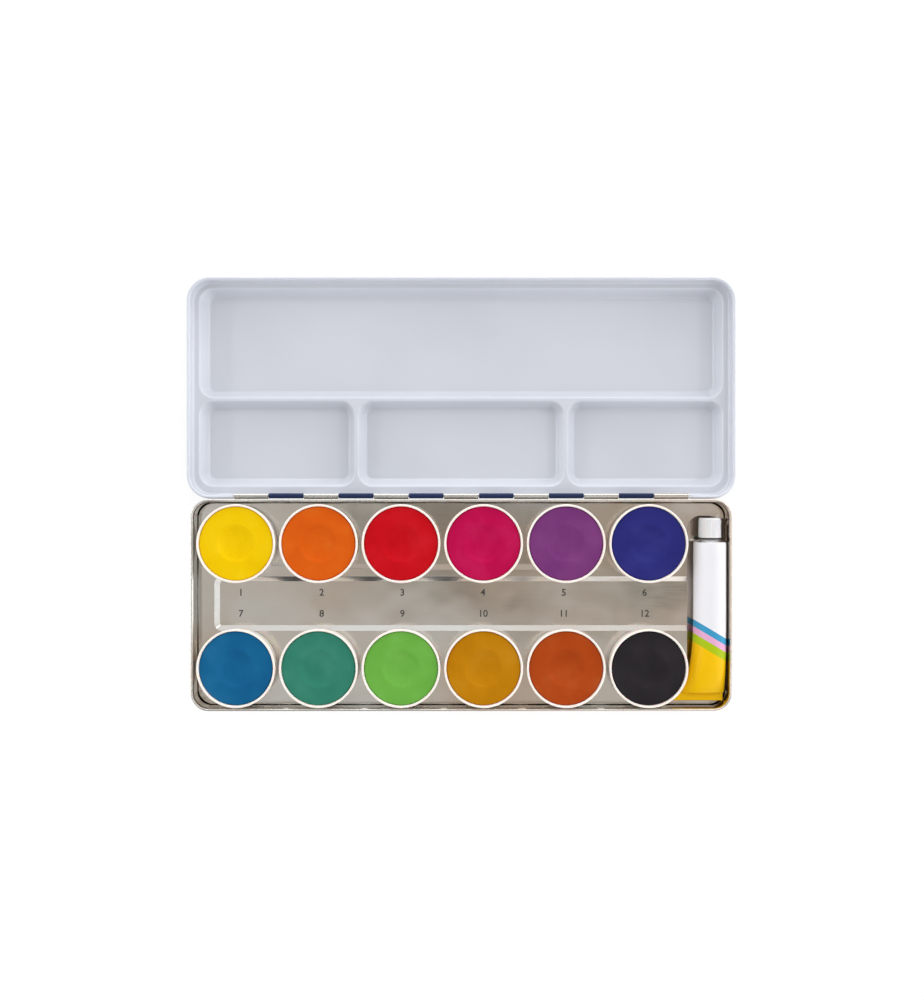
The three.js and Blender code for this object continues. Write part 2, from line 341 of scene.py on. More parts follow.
@dataclass(frozen=True)
class PressedPaint:
    """Gum-bound pigment pressed into a cake: dead matt, softly clouded, with a fine chalky grain."""

    name: str
    colour: str
    deep: str
    light: str
    grain_mm: float = 0.45  # the real pigment is finer; drawn this coarse so that it shows
    grain_high_mm: float = 0.05
    cloud_mm: float = 11.0
    speck: str = "C8C8C8"
    speck_share: float = 0.25

    def build(self) -> bpy.types.Material:
        """Makes the paint material.

        Returns:
            The material.
        """
        made = new_material(self.name)
        place = add_node(made, "TexCoord")
        cloud = add_node(
            made, "TexNoise",
            {"Vector": (place, "Object"), "Scale": per_mm(self.cloud_mm), "Detail": 5.0,
             "Roughness": 0.5},
        )
        tint = add_node(
            made, "ValToRGB", {"Fac": (cloud, "Fac")},
            [(0.05, self.deep), (0.5, self.colour), (1.0, self.light)],
        )
        grain = add_node(
            made, "TexNoise",
            {"Vector": (place, "Object"), "Scale": per_mm(self.grain_mm), "Detail": 4.0,
             "Roughness": 0.7},
        )
        speck = add_node(
            made, "ValToRGB", {"Fac": (grain, "Fac")}, [(0.3, self.speck), (0.62, "FFFFFF")]
        )
        mottled = add_node(
            made, "Mix",
            {"Factor": self.speck_share, 6: (tint, "Color"), 7: (speck, "Color")},
            data_type="RGBA", blend_type="MULTIPLY",
        )
        chalk = add_node(
            made, "Bump",
            {"Height": (grain, "Fac"), "Strength": 0.6, "Distance": self.grain_high_mm * MM},
        )
        shader = add_node(
            made, "BsdfPrincipled",
            {"Base Color": (mottled, 2), "Roughness": 0.88, "IOR": 1.45,
             "Specular IOR Level": 0.05, "Normal": (chalk, 0)},
        )
        return finish_material(made, shader)


@dataclass(frozen=True)
class DrawnWire:
    """Drawn mild-steel wire: dull grey metal with lines along its length."""

    name: str = "drawn_steel_wire"
    dark: str = "6E6C69"
    bright: str = "8F8C88"
    line_mm: float = 0.15
    stretch: Place = (0.03, 1.0, 1.0)

    def build(self) -> bpy.types.Material:
        """Makes the wire material.

        Returns:
            The material.
        """
        made = new_material(self.name)
        place = add_node(made, "TexCoord")
        along = add_node(
            made, "Mapping", {"Vector": (place, "Object"), "Scale": self.stretch}
        )
        lines = add_node(
            made, "TexNoise", {"Vector": (along, 0), "Scale": per_mm(self.line_mm), "Detail": 3.0}
        )
        tint = add_node(
            made, "ValToRGB", {"Fac": (lines, "Fac")}, [(0.3, self.dark), (0.7, self.bright)]
        )
        shader = add_node(
            made, "BsdfPrincipled",
            {"Base Color": (tint, "Color"), "Metallic": 1.0, "Roughness": 0.38},
        )
        return finish_material(made, shader)


@dataclass(frozen=True)
class BareAluminium:
    """Impact-extruded aluminium: satin silver with faint turning marks."""

    name: str = "extruded_aluminium"
    dark: str = "BFC0C2"
    bright: str = "D8D9DA"
    mark_mm: float = 0.6

    def build(self) -> bpy.types.Material:
        """Makes the bare aluminium material.

        Returns:
            The material.
        """
        made = new_material(self.name)
        place = add_node(made, "TexCoord")
        marks = add_node(
            made, "TexNoise",
            {"Vector": (place, "Object"), "Scale": per_mm(self.mark_mm), "Detail": 3.0},
        )
        tint = add_node(
            made, "ValToRGB", {"Fac": (marks, "Fac")}, [(0.3, self.dark), (0.7, self.bright)]
        )
        shader = add_node(
            made, "BsdfPrincipled",
            {"Base Color": (tint, "Color"), "Metallic": 1.0, "Roughness": 0.3},
        )
        return finish_material(made, shader)


@dataclass(frozen=True)
class PrintedTubeLacquer:
    """Offset-printed gloss lacquer on soft aluminium: white, with plain slanting colour bands."""

    name: str
    shoulder_y: float  # where the print starts along Y, in metres
    crimp_y: float  # where it ends, in metres
    middle_x: float  # the tube's middle along X, in metres
    bands: Stops = (
        (0.0, "E9E9ED"), (0.55, "3A97C2"), (0.59, "DFA9CC"), (0.635, "A9C113"),
        (0.69, "F0BE00"),
    )
    slant: float = -0.6  # how far the bands climb across the tube
    dent_mm: float = 8.0
    dent_high_mm: float = 0.2

    def build(self) -> bpy.types.Material:
        """Makes the printed tube material.

        Returns:
            The material.
        """
        made = new_material(self.name)
        place = add_node(made, "TexCoord")
        axes = add_node(made, "SeparateXYZ", {"Vector": (place, "Object")})
        across = add_node(
            made, "Math", {0: (axes, "X"), 1: self.middle_x}, operation="SUBTRACT"
        )
        lean = add_node(made, "Math", {0: (across, 0), 1: self.slant}, operation="MULTIPLY")
        level = add_node(made, "Math", {0: (axes, "Y"), 1: (lean, 0)}, operation="SUBTRACT")
        along = add_node(
            made, "MapRange",
            {"Value": (level, 0), "From Min": self.shoulder_y, "From Max": self.crimp_y},
        )
        printing = add_node(
            made, "ValToRGB", {"Fac": (along, "Result")}, self.bands
        )
        printing.color_ramp.interpolation = "CONSTANT"
        dents = add_node(
            made, "TexNoise",
            {"Vector": (place, "Object"), "Scale": per_mm(self.dent_mm), "Detail": 2.0},
        )
        soft = add_node(
            made, "Bump",
            {"Height": (dents, "Fac"), "Strength": 0.8, "Distance": self.dent_high_mm * MM},
        )
        shader = add_node(
            made, "BsdfPrincipled",
            {"Base Color": (printing, "Color"), "Roughness": 0.34, "IOR": 1.45,
             "Specular IOR Level": 0.16, "Normal": (soft, 0)},
        )
        return finish_material(made, shader)


@dataclass(frozen=True)
class PadInk:
    """Pad-printed ink: a thin dark grey film with slightly uneven cover."""

    name: str = "printed_ink"
    dark: str = "33322F"
    pale: str = "4A4844"
    cover_mm: float = 0.3

    def build(self) -> bpy.types.Material:
        """Makes the ink material.

        Returns:
            The material.
        """
        made = new_material(self.name)
        place = add_node(made, "TexCoord")
        cover = add_node(
            made, "TexNoise",
            {"Vector": (place, "Object"), "Scale": per_mm(self.cover_mm), "Detail": 2.0},
        )
        tint = add_node(
            made, "ValToRGB", {"Fac": (cover, "Fac")}, [(0.3, self.dark), (0.75, self.pale)]
        )
        shader = add_node(
            made, "BsdfPrincipled", {"Base Color": (tint, "Color"), "Roughness": 0.55}
        )
        return finish_material(made, shader)


@dataclass(frozen=True)
class StudioPaper:
    """Matt background paper lit from behind, so that shadows on it all but vanish."""

    name: str = "studio_paper"
    paper: str = "707070"
    shade: str = "6C6C6C"
    glow: str = "FFFFFF"
    strength: float = 0.88
    fibre_mm: float = 3.0

    def build(self) -> bpy.types.Material:
        """Makes the floor's material.

        Returns:
            The material.
        """
        made = new_material(self.name)
        place = add_node(made, "TexCoord")
        fibre = add_node(
            made, "TexNoise",
            {"Vector": (place, "Object"), "Scale": per_mm(self.fibre_mm), "Detail": 3.0},
        )
        tint = add_node(
            made, "ValToRGB", {"Fac": (fibre, "Fac")}, [(0.3, self.shade), (0.7, self.paper)]
        )
        shader = add_node(
            made, "BsdfPrincipled",
            {"Base Color": (tint, "Color"), "Roughness": 0.95, "Specular IOR Level": 0.0,
             "Emission Color": linear(self.glow), "Emission Strength": self.strength},
        )
        return finish_material(made, shader)


# ---------------------------------------------------------------- mesh helpers


def rounded_outline(
    half: Point,
    radius: float,
    centre: Point,
    steps: int = 10,
    near_stops: Sequence[float] = (),
    left_stops: Sequence[float] = (),
) -> list[Point]:
    """The points of a rectangle with round corners, anticlockwise from its right side.

    Args:
        half: half its length and half its width.
        radius: its corner radius.
        centre: its middle.
        steps: segments in each corner.
        near_stops: places along X that get an extra point on the near side, rising.
        left_stops: places along Y that get an extra point on the left side, falling.

    Returns:
        The points, as many for every size of rectangle.
    """
    radius = max(radius, SMALLEST_CORNER_MM * MM)
    points: list[Point] = []
    corners = [(1, 1, 0.0), (-1, 1, 0.5), (-1, -1, 1.0), (1, -1, 1.5)]
    for side_x, side_y, start in corners:
        middle = (
            centre[0] + side_x * (half[0] - radius),
            centre[1] + side_y * (half[1] - radius),
        )
        for step in range(steps + 1):
            angle = math.pi * (start + 0.5 * step / steps)
            points.append(
                (middle[0] + radius * math.cos(angle), middle[1] + radius * math.sin(angle))
            )
        if (side_x, side_y) == (-1, 1):
            points += [(centre[0] - half[0], y) for y in left_stops]
        if (side_x, side_y) == (-1, -1):
            points += [(x, centre[1] - half[1]) for x in near_stops]
    return points


def arc(middle: Point, radius: float, start: float, end: float, steps: int) -> list[Point]:
    """Points on a circle from one angle to another, both ends included.

    Args:
        middle: the circle's middle.
        radius: its radius.
        start: the first angle, in degrees.
        end: the last angle, in degrees.
        steps: segments between them.

    Returns:
        The points in order.
    """
    return [
        (
            middle[0] + radius * math.cos(math.radians(start + (end - start) * k / steps)),
            middle[1] + radius * math.sin(math.radians(start + (end - start) * k / steps)),
        )
        for k in range(steps + 1)
    ]


def angles(sides: int) -> list[float]:
    """The angles of a round's points, in radians."""
    return [2 * math.pi * s / sides for s in range(sides)]


def round_foot(wall: float, floor: float, radius: float, steps: int) -> list[Point]:
    """The rounded corner between a wall and a floor.

    Args:
        wall: the wall's inset.
        floor: the floor's height.
        radius: the corner's radius.
        steps: segments in the corner.

    Returns:
        (inset, height) pairs from the wall down to the floor.
    """
    return [
        (wall + radius * (1 - math.cos(a)), floor + radius * (1 - math.sin(a)))
        for a in (math.pi / 2 * k / steps for k in range(steps + 1))
    ]


def pressed_side(width: float, depth: float, top: float, bottom: float) -> list[Point]:
    """The section of a pressed hollow's side: a rounded brim, a straight slope, a round foot.

    Args:
        width: how far the side leans in, from flat to flat.
        depth: how deep it goes.
        top: radius at the brim.
        bottom: radius at the foot.

    Returns:
        (inset, height) pairs from (0, 0) down to (width, -depth).
    """
    both = top + bottom
    straight = math.sqrt(max(width**2 + (depth - both) ** 2 - both**2, 0.0))
    angle = math.atan2(depth - both, width) + math.atan2(both, straight)
    steps = 6
    brim = [
        (top * math.sin(angle * k / steps), -top * (1 - math.cos(angle * k / steps)))
        for k in range(steps + 1)
    ]
    foot = [
        (
            width - bottom * math.sin(angle * k / steps),
            -depth + bottom * (1 - math.cos(angle * k / steps)),
        )
        for k in range(steps, -1, -1)
    ]
    return brim + foot


def put_in_scene(name: str, data: bpy.types.ID) -> bpy.types.Object:
    """Makes an object and puts it in the scene.

    Args:
        name: its name.
        data: its mesh, outlines, light or camera.

    Returns:
        The object.
    """
    made = bpy.data.objects.new(name, data)
    bpy.context.scene.collection.objects.link(made)
    return made


def worked_out(made: bpy.types.Object) -> bpy.types.Mesh:
    """Works out an object's mesh with its modifiers applied, or its outlines filled.

    Args:
        made: the object.

    Returns:
        A new mesh.
    """
    bpy.context.view_layer.update()
    evaluated = made.evaluated_get(bpy.context.evaluated_depsgraph_get())
    return bpy.data.meshes.new_from_object(evaluated)


class Piece:
    """Gathers one piece's points and faces, then turns them into an object on a body."""

    def __init__(self, name: str) -> None:
        """Starts an empty piece with that name."""
        self.name = name
        self.mesh = bmesh.new()

    def loop(self, points: Iterable[Sequence[float]]) -> Loop:
        """Adds a ring of points and returns its vertices."""
        return [self.mesh.verts.new(tuple(p)) for p in points]

    def flat_loop(self, points: Iterable[Point], height: float) -> Loop:
        """Adds a level ring of points and returns its vertices."""
        return self.loop((x, y, height) for x, y in points)

    def join(
        self,
        first: Loop,
        second: Loop,
        skip: Optional[Callable[[Vector, Vector], bool]] = None,
        closed: bool = True,
    ) -> None:
        """Joins two rings with quads.

        Args:
            first: one ring.
            second: the other, with as many points.
            skip: says of two neighbours in the first ring whether their side stays open.
            closed: whether the rings close on themselves.
        """
        count = len(first)
        for k in range(count if closed else count - 1):
            after = (k + 1) % count
            if skip and skip(first[k].co, first[after].co):
                continue
            self.mesh.faces.new((first[k], first[after], second[after], second[k]))

    def skin(
        self,
        rings: Sequence[Loop],
        skip: Optional[Callable[[Vector, Vector], bool]] = None,
        closed: bool = True,
    ) -> None:
        """Joins each ring to the next one.

        Args:
            rings: the rings in order.
            skip: as in join.
            closed: as in join.
        """
        for first, second in zip(rings, rings[1:]):
            self.join(first, second, skip, closed)

    def cap(self, ring: Loop) -> None:
        """Fills a ring with one face."""
        self.mesh.faces.new(ring)

    def fan(self, ring: Loop, tip: Sequence[float]) -> None:
        """Closes a ring to one point.

        Args:
            ring: the ring.
            tip: where the point is.
        """
        point = self.mesh.verts.new(tuple(tip))
        for k, vert in enumerate(ring):
            self.mesh.faces.new((vert, ring[(k + 1) % len(ring)], point))

    def plate(self, outer: Loop, holes: Sequence[Loop]) -> None:
        """Fills a level area between an outer ring and the rings of its holes.

        Args:
            outer: the ring round the area.
            holes: the rings of its holes.
        """
        rings = [outer, *holes]
        verts = [v for ring in rings for v in ring]
        for face in tessellate_polygon([[v.co for v in ring] for ring in rings]):
            corners = [verts[i] for i in face]
            if len(set(corners)) == 3 and not self.mesh.faces.get(corners):
                self.mesh.faces.new(corners)

    def turn(
        self, profile: Sequence[Point], place: Sequence[float], sides: int, axis: str = "Z"
    ) -> None:
        """Turns (radius, height) pairs about an axis; a radius of 0 closes the end.

        Args:
            profile: the section, from one end to the other.
            place: where its axis and zero height are.
            sides: how many sides the round has.
            axis: Z or Y, the direction of the height.
        """
        rings: list[Loop] = []
        tips: list[tuple[int, float]] = []
        for k, (radius, height) in enumerate(profile):
            if radius <= 0:
                tips.append((k, height))
                continue
            ring = []
            for angle in angles(sides):
                u, v = radius * math.cos(angle), radius * math.sin(angle)
                offset = (u, v, height) if axis == "Z" else (v, height, u)
                ring.append([place[i] + offset[i] for i in range(3)])
            rings.append(self.loop(ring))
        self.skin(rings)
        for k, height in tips:
            tip = list(place)
            tip[2 if axis == "Z" else 1] += height
            ring = rings[0] if k == 0 else rings[-1]
            self.fan(ring if k else ring[::-1], tip)

    def close_seams(self) -> None:
        """Merges points that meet and turns every face outward."""
        bmesh.ops.remove_doubles(self.mesh, verts=self.mesh.verts, dist=SEAM_MM * MM)
        bmesh.ops.recalc_face_normals(self.mesh, faces=self.mesh.faces)

    def finish(
        self,
        body: str,
        slot: str,
        materials: Sequence[bpy.types.Material],
        stands_for: Sequence[str] = (),
        sheet_mm: float = 0.0,
        sharp_deg: float = 40.0,
        turned_up: bool = False,
    ) -> bpy.types.Object:
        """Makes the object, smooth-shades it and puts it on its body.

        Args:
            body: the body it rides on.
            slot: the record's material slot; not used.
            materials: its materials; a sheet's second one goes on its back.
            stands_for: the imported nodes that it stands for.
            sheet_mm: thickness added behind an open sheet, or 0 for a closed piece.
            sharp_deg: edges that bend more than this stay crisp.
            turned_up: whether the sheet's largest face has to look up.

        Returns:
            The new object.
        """
        self.close_seams()
        if turned_up:
            largest = max(self.mesh.faces, key=lambda f: f.calc_area())
            if largest.normal.z < 0:
                bmesh.ops.reverse_faces(self.mesh, faces=self.mesh.faces)
        data = bpy.data.meshes.new(self.name)
        self.mesh.to_mesh(data)
        self.mesh.free()
        for material in materials:
            data.materials.append(material)
        made = put_in_scene(self.name, data)
        if sheet_mm:
            thicken(made, sheet_mm, len(materials) > 1)
        soften(made, sharp_deg)
        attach(made, body)
        if stands_for:
            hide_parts(*stands_for)
        LOG.info("%s: %d faces on %s", self.name, len(made.data.polygons), body)
        return made


def thicken(made: bpy.types.Object, sheet_mm: float, other_back: bool) -> None:
    """Gives an open sheet its thickness behind its faces and keeps the result as its mesh.

    Args:
        made: the sheet.
        sheet_mm: its thickness.
        other_back: whether its second material goes on its back.
    """
    solid = made.modifiers.new("sheet", "SOLIDIFY")
    solid.thickness = sheet_mm * MM
    solid.offset = -1.0
    solid.use_even_offset = True
    solid.material_offset = 1 if other_back else 0
    thick = worked_out(made)
    made.modifiers.clear()
    made.data = thick


def soften(made: bpy.types.Object, sharp_deg: float) -> None:
    """Shades an object smooth, keeps its hard edges, and lets its large faces look flat.

    Args:
        made: the object.
        sharp_deg: edges that bend more than this stay crisp.
    """
    mesh = bmesh.new()
    mesh.from_mesh(made.data)
    for face in mesh.faces:
        face.smooth = True
    limit = math.radians(sharp_deg)
    for edge in mesh.edges:
        edge.smooth = len(edge.link_faces) != 2 or edge.calc_face_angle(0.0) < limit
    mesh.to_mesh(made.data)
    mesh.free()
    weighted = made.modifiers.new("flats", "WEIGHTED_NORMAL")
    weighted.keep_sharp = True


# ---------------------------------------------------------------- the hinge


class HingeSide(Enum):
    """Which half of the hinge a knuckle is rolled from."""

    BASE = 0
    LID = 1


@dataclass
class Hinge:
    """A rolled hinge: tongues of the two tins curled by turns round one wire."""

    axis_y: float  # in metres
    axis_z: float  # in metres
    knuckles: int = 13
    pitch: float = 13.4
    gap: float = 0.3
    barrel: float = 1.0
    sheet: float = 0.28
    wire: float = 0.5
    end_ease: float = 0.05  # length of the soft edge at a knuckle's ends
    wire_ease: float = 0.12  # length of the rounded end of the wire
    wire_end: float = 0.72  # how wide the wire's end face is, as a share of the wire
    base_tail: tuple[Point, Point] = ((-2.25, -0.32), (-1.15, -0.32))  # from the tin to the curl
    base_curl: Point = (202, 328)  # where it starts, and how far it goes round, in degrees
    lid_tail: tuple[Point, Point] = ((0.19, -2.6), (0.19, -1.2))
    lid_curl: Point = (-78, 334)

    def half_length(self) -> float:
        """Half the length of the whole hinge, in metres."""
        return self.knuckles * self.pitch / 2 * MM

    def places(self, side: HingeSide) -> list[float]:
        """The middles of one side's knuckles along X.

        Args:
            side: whose knuckles they are.

        Returns:
            The places, in metres.
        """
        middle = (self.knuckles - 1) / 2
        return [
            (k - middle) * self.pitch * MM for k in range(self.knuckles) if k % 2 == side.value
        ]

    def section(self, side: HingeSide) -> list[Point]:
        """The closed outline of a rolled tongue, in (y, z) about the hinge axis.

        Args:
            side: whose tongue it is.

        Returns:
            The outline's points, down one face and back up the other.
        """
        mean = (self.barrel - self.sheet / 2) * MM
        base = side is HingeSide.BASE
        tail = self.base_tail if base else self.lid_tail
        start, sweep = self.base_curl if base else self.lid_curl
        path = [(y * MM, z * MM) for y, z in tail] + arc((0, 0), mean, start, start + sweep, 30)
        half = self.sheet / 2 * MM
        left: list[Point] = []
        right: list[Point] = []
        for k, (y, z) in enumerate(path):
            before = path[max(k - 1, 0)]
            after = path[min(k + 1, len(path) - 1)]
            dy, dz = after[0] - before[0], after[1] - before[1]
            size = math.hypot(dy, dz)
            left.append((y - half * dz / size, z + half * dy / size))
            right.append((y + half * dz / size, z - half * dy / size))
        return left + right[::-1]

    def build_knuckles(
        self, side: HingeSide, name: str, body: str, slot: str, material: bpy.types.Material
    ) -> bpy.types.Object:
        """Rolls one side's knuckles as one piece.

        Args:
            side: whose knuckles they are.
            name: the piece's name.
            body: the body that they ride on.
            slot: the record's material slot.
            material: their finish.

        Returns:
            The new object.
        """
        piece = Piece(name)
        half = (self.pitch - self.gap) / 2 * MM
        outline = self.section(side)
        ease = self.end_ease * MM
        for x in self.places(side):
            rings = []
            for at in (x - half, x - half + ease, x + half - ease, x + half):
                rings.append(
                    piece.loop((at, self.axis_y + y, self.axis_z + z) for y, z in outline)
                )
            piece.skin(rings)
            for ring in (rings[0][::-1], rings[-1]):
                count = len(ring) // 2
                for k in range(count - 1):
                    opposite = len(ring) - 1 - k
                    piece.mesh.faces.new((ring[k], ring[k + 1], ring[opposite - 1], ring[opposite]))
        return piece.finish(body, slot, [material])

    def build_wire(self, material: bpy.types.Material) -> bpy.types.Object:
        """Makes the hinge wire, with cropped and slightly rounded ends.

        Args:
            material: its finish.

        Returns:
            The new object.
        """
        piece = Piece("hinge_pin")
        length = self.half_length()
        radius = self.wire * MM
        ease = self.wire_ease * MM
        ends = [(-length, self.wire_end), (-length + ease, 1.0), (length - ease, 1.0),
                (length, self.wire_end)]
        rings = []
        for x, share in ends:
            ring = arc((0, 0), radius * share, 0, 345, 23)
            rings.append(piece.loop((x, self.axis_y + y, self.axis_z + z) for y, z in ring))
        piece.skin(rings)
        piece.cap(rings[0][::-1])
        piece.cap(rings[-1])
        return piece.finish("base", "steel_wire", [material], ["hinge_wire"])


# ---------------------------------------------------------------- base tin


@dataclass
class BaseTin:
    """The bare tinplate bottom box, with its rim rolled outward."""

    width: float = 81.0
    corner: float = 7.0
    rim_out: float = 0.9
    rim_radius: float = 0.5
    foot_radius: float = 1.4
    sheet: float = 0.28
    wall_in: float = 0.12  # how far the wall stands in from the rim's root
    rim_root: float = 1.9  # how far the rim's root is under its top, in rim radii

    def section(self, height: float) -> list[Point]:
        """The tin's section down its inside face.

        Args:
            height: the height of the rim's top, in metres.

        Returns:
            (inset from the rim's outer edge, height) pairs, in metres.
        """
        roll = self.rim_radius * MM
        wall = (self.rim_out + self.sheet + self.wall_in) * MM
        top = (roll, height - roll)
        over = arc(top, roll, 180, 0, 12)[1:]
        outer = arc(top, roll, 250, 180, 6)
        root = [(wall, height - self.rim_root * roll)]
        base = round_foot(wall, self.sheet * MM, self.foot_radius * MM, 8)
        return outer + over + root + base

    def build(self, tinplate: bpy.types.Material) -> bpy.types.Object:
        """Builds the tin as one pressed sheet.

        Args:
            tinplate: its finish.

        Returns:
            The new object.
        """
        low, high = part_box("base_tin")
        half = ((high.x - low.x) / 2, self.width / 2 * MM)
        centre = ((high.x + low.x) / 2, low.y + half[1])
        piece = Piece("base_shell")
        rings = []
        for inset, height in self.section(high.z):
            outline = rounded_outline(
                (half[0] - inset, half[1] - inset), self.corner * MM - inset, centre
            )
            rings.append(piece.flat_loop(outline, height))
        piece.skin(rings)
        piece.cap(rings[-1])
        return piece.finish(
            "base", "tinplate", [tinplate], ["base_tin"], self.sheet, turned_up=True
        )


# ---------------------------------------------------------------- insert tray


@dataclass
class InsertTray:
    """The pressed plate that seats the pans, with a brush channel and a well for the tube."""

    sheet: float = 0.25
    corner: float = 6.0
    corner_steps: int = 10
    edge: float = 0.3
    channel_left: float = -95.9
    channel_half: float = 10.6
    channel_corner: float = 3.0
    channel_slope: float = 2.1
    channel_deep: float = 1.2
    channel_edge: float = 0.25
    boss_radius: float = 13.0
    boss_high: float = 0.8
    boss_slope: float = 0.7
    boss_edge: float = 0.3
    well_left: float = 87.6
    well_right: float = 101.1
    well_near: float = -34.5
    well_far: float = 34.2
    well_corner: float = 5.4
    well_deep: float = 3.85
    well_slope: float = 0.9
    well_brim: float = 0.35
    well_foot: float = 0.5
    border: float = 2.6  # width of the strip that dips beside the tube
    border_ramp: float = 1.6
    border_ends: float = 3.0
    border_low: float = 2.2  # the height that the strip dips halfway to
    skirt: float = 1.0  # height of the turned-down edge's straight foot
    plate_drop: float = 0.9  # how far the plate's top is under the pan bosses' top
    snug: float = 0.16  # how much closer to the tin's wall the pressed edge springs

    def press_well(self, piece: Piece, middle: Point, top: float, mouth: Sequence[Point]) -> Loop:
        """Presses the tube's well, whose left side dips where the channel runs into it.

        Args:
            piece: the piece that gets it.
            middle: the middle of the base in plan.
            top: the plate's height.
            mouth: the channel's side section.

        Returns:
            The ring round its brim.
        """
        half = (
            (self.well_right - self.well_left) / 2 * MM,
            (self.well_far - self.well_near) / 2 * MM,
        )
        centre = (
            middle[0] + (self.well_right + self.well_left) / 2 * MM,
            middle[1] + (self.well_far + self.well_near) / 2 * MM,
        )
        reach = self.channel_half * MM
        upper = [middle[1] + reach - inset for inset, _ in mouth]
        stops = upper + [2 * middle[1] - y for y in reversed(upper)]
        dips = [z for _, z in mouth] + [z for _, z in reversed(mouth)]
        first_stop = 2 * (self.corner_steps + 1)
        rings = []
        side = pressed_side(
            self.well_slope * MM, self.well_deep * MM, self.well_brim * MM, self.well_foot * MM
        )
        for inset, height in side:
            outline = rounded_outline(
                (half[0] - inset, half[1] - inset), self.well_corner * MM - inset, centre,
                self.corner_steps, left_stops=stops,
            )
            heights = [height] * len(outline)
            for k, dip in enumerate(dips):
                heights[first_stop + k] = min(height, dip)
            rings.append(piece.loop((x, y, top + z) for (x, y), z in zip(outline, heights)))
        piece.skin(rings)
        piece.cap(rings[-1])
        return rings[0]

    def press_channel(self, piece: Piece, middle: Point, top: float) -> Loop:
        """Presses the brush channel and the well that its right end opens into.

        Args:
            piece: the piece that gets them.
            middle: the middle of the base in plan.
            top: the plate's height.

        Returns:
            The ring round both, which the plate joins.
        """
        edge = self.channel_edge * MM
        section = pressed_side(self.channel_slope * MM, self.channel_deep * MM, edge, edge)
        well = self.press_well(piece, middle, top, section)
        start = 2 * (self.corner_steps + 1)
        end = start + 2 * len(section) - 1
        corner = self.channel_corner * MM
        turn_x = middle[0] + self.channel_left * MM + corner
        turn_y = self.channel_half * MM - corner
        paths = []
        for k, (inset, height) in enumerate(section):
            radius = corner - inset
            left = arc((turn_x, middle[1] + turn_y), radius, 90, 180, 8)
            left += arc((turn_x, middle[1] - turn_y), radius, 180, 270, 8)
            paths.append([well[start + k], *piece.flat_loop(left, top + height), well[end - k]])
        piece.skin(paths, closed=False)
        piece.cap(paths[-1])
        return paths[0][:-1] + well[end:] + well[:start]

    def boss(self, piece: Piece, middle: Point, top: float) -> Loop:
        """Presses up one round boss that fits in a pan's hollow foot.

        Args:
            piece: the piece that gets it.
            middle: its middle in plan.
            top: the plate's height.

        Returns:
            The ring round its foot.
        """
        edge = self.boss_edge * MM
        rise = pressed_side(self.boss_slope * MM, self.boss_high * MM, edge, edge)
        rings = [
            piece.flat_loop(
                arc(middle, self.boss_radius * MM - i, 0, 352.5, 47), top - z
            )
            for i, z in rise
        ]
        piece.skin(rings)
        piece.cap(rings[-1])
        return rings[0]

    def lower_by_tube(self, piece: Piece, right: float, far: float, near: float) -> None:
        """Dips the plate's right border where the tube lies against the wall.

        Args:
            piece: the plate.
            right: where its right edge is along X.
            far: the far end of the well along Y.
            near: the near end of the well along Y.
        """
        for vert in piece.mesh.verts:
            start = right - self.border * MM
            inside = min(max((vert.co.x - start) / (self.border_ramp * MM), 0.0), 1.0)
            ends = min(far - vert.co.y, vert.co.y - near) / (self.border_ends * MM)
            share = inside * min(max(ends, 0.0), 1.0)
            vert.co.z -= share * max(vert.co.z - self.border_low * MM, 0.0) * 0.5

    def build(
        self, tinplate: bpy.types.Material, pans: Sequence[Point], middle: Point
    ) -> bpy.types.Object:
        """Builds the tray.

        Args:
            tinplate: its finish.
            pans: the pans' middles.
            middle: the middle of the base in plan.

        Returns:
            The new object.
        """
        low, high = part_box("insert_tray")
        top = high.z - self.plate_drop * MM
        snug = self.snug * MM
        half = ((high.x - low.x) / 2 + snug, (high.y - low.y) / 2 + snug)
        piece = Piece("tray_plate")
        edge = self.edge * MM
        turned = [(0.0, low.z), (0.0, low.z + self.skirt * MM)]
        turned += [
            (edge * (1 - math.cos(a)), top - edge * (1 - math.sin(a)))
            for a in (math.pi / 2 * k / 6 for k in range(7))
        ]
        rings = [
            piece.flat_loop(
                rounded_outline((half[0] - i, half[1] - i), self.corner * MM - i, middle), z
            )
            for i, z in turned
        ]
        piece.skin(rings)
        holes = [self.press_channel(piece, middle, top)]
        holes += [self.boss(piece, pan, top) for pan in pans]
        piece.plate(rings[-1], holes)
        self.lower_by_tube(
            piece,
            middle[0] + half[0],
            middle[1] + self.well_far * MM,
            middle[1] + self.well_near * MM,
        )
        return piece.finish(
            "base", "tinplate", [tinplate], ["insert_tray"], self.sheet, turned_up=True
        )


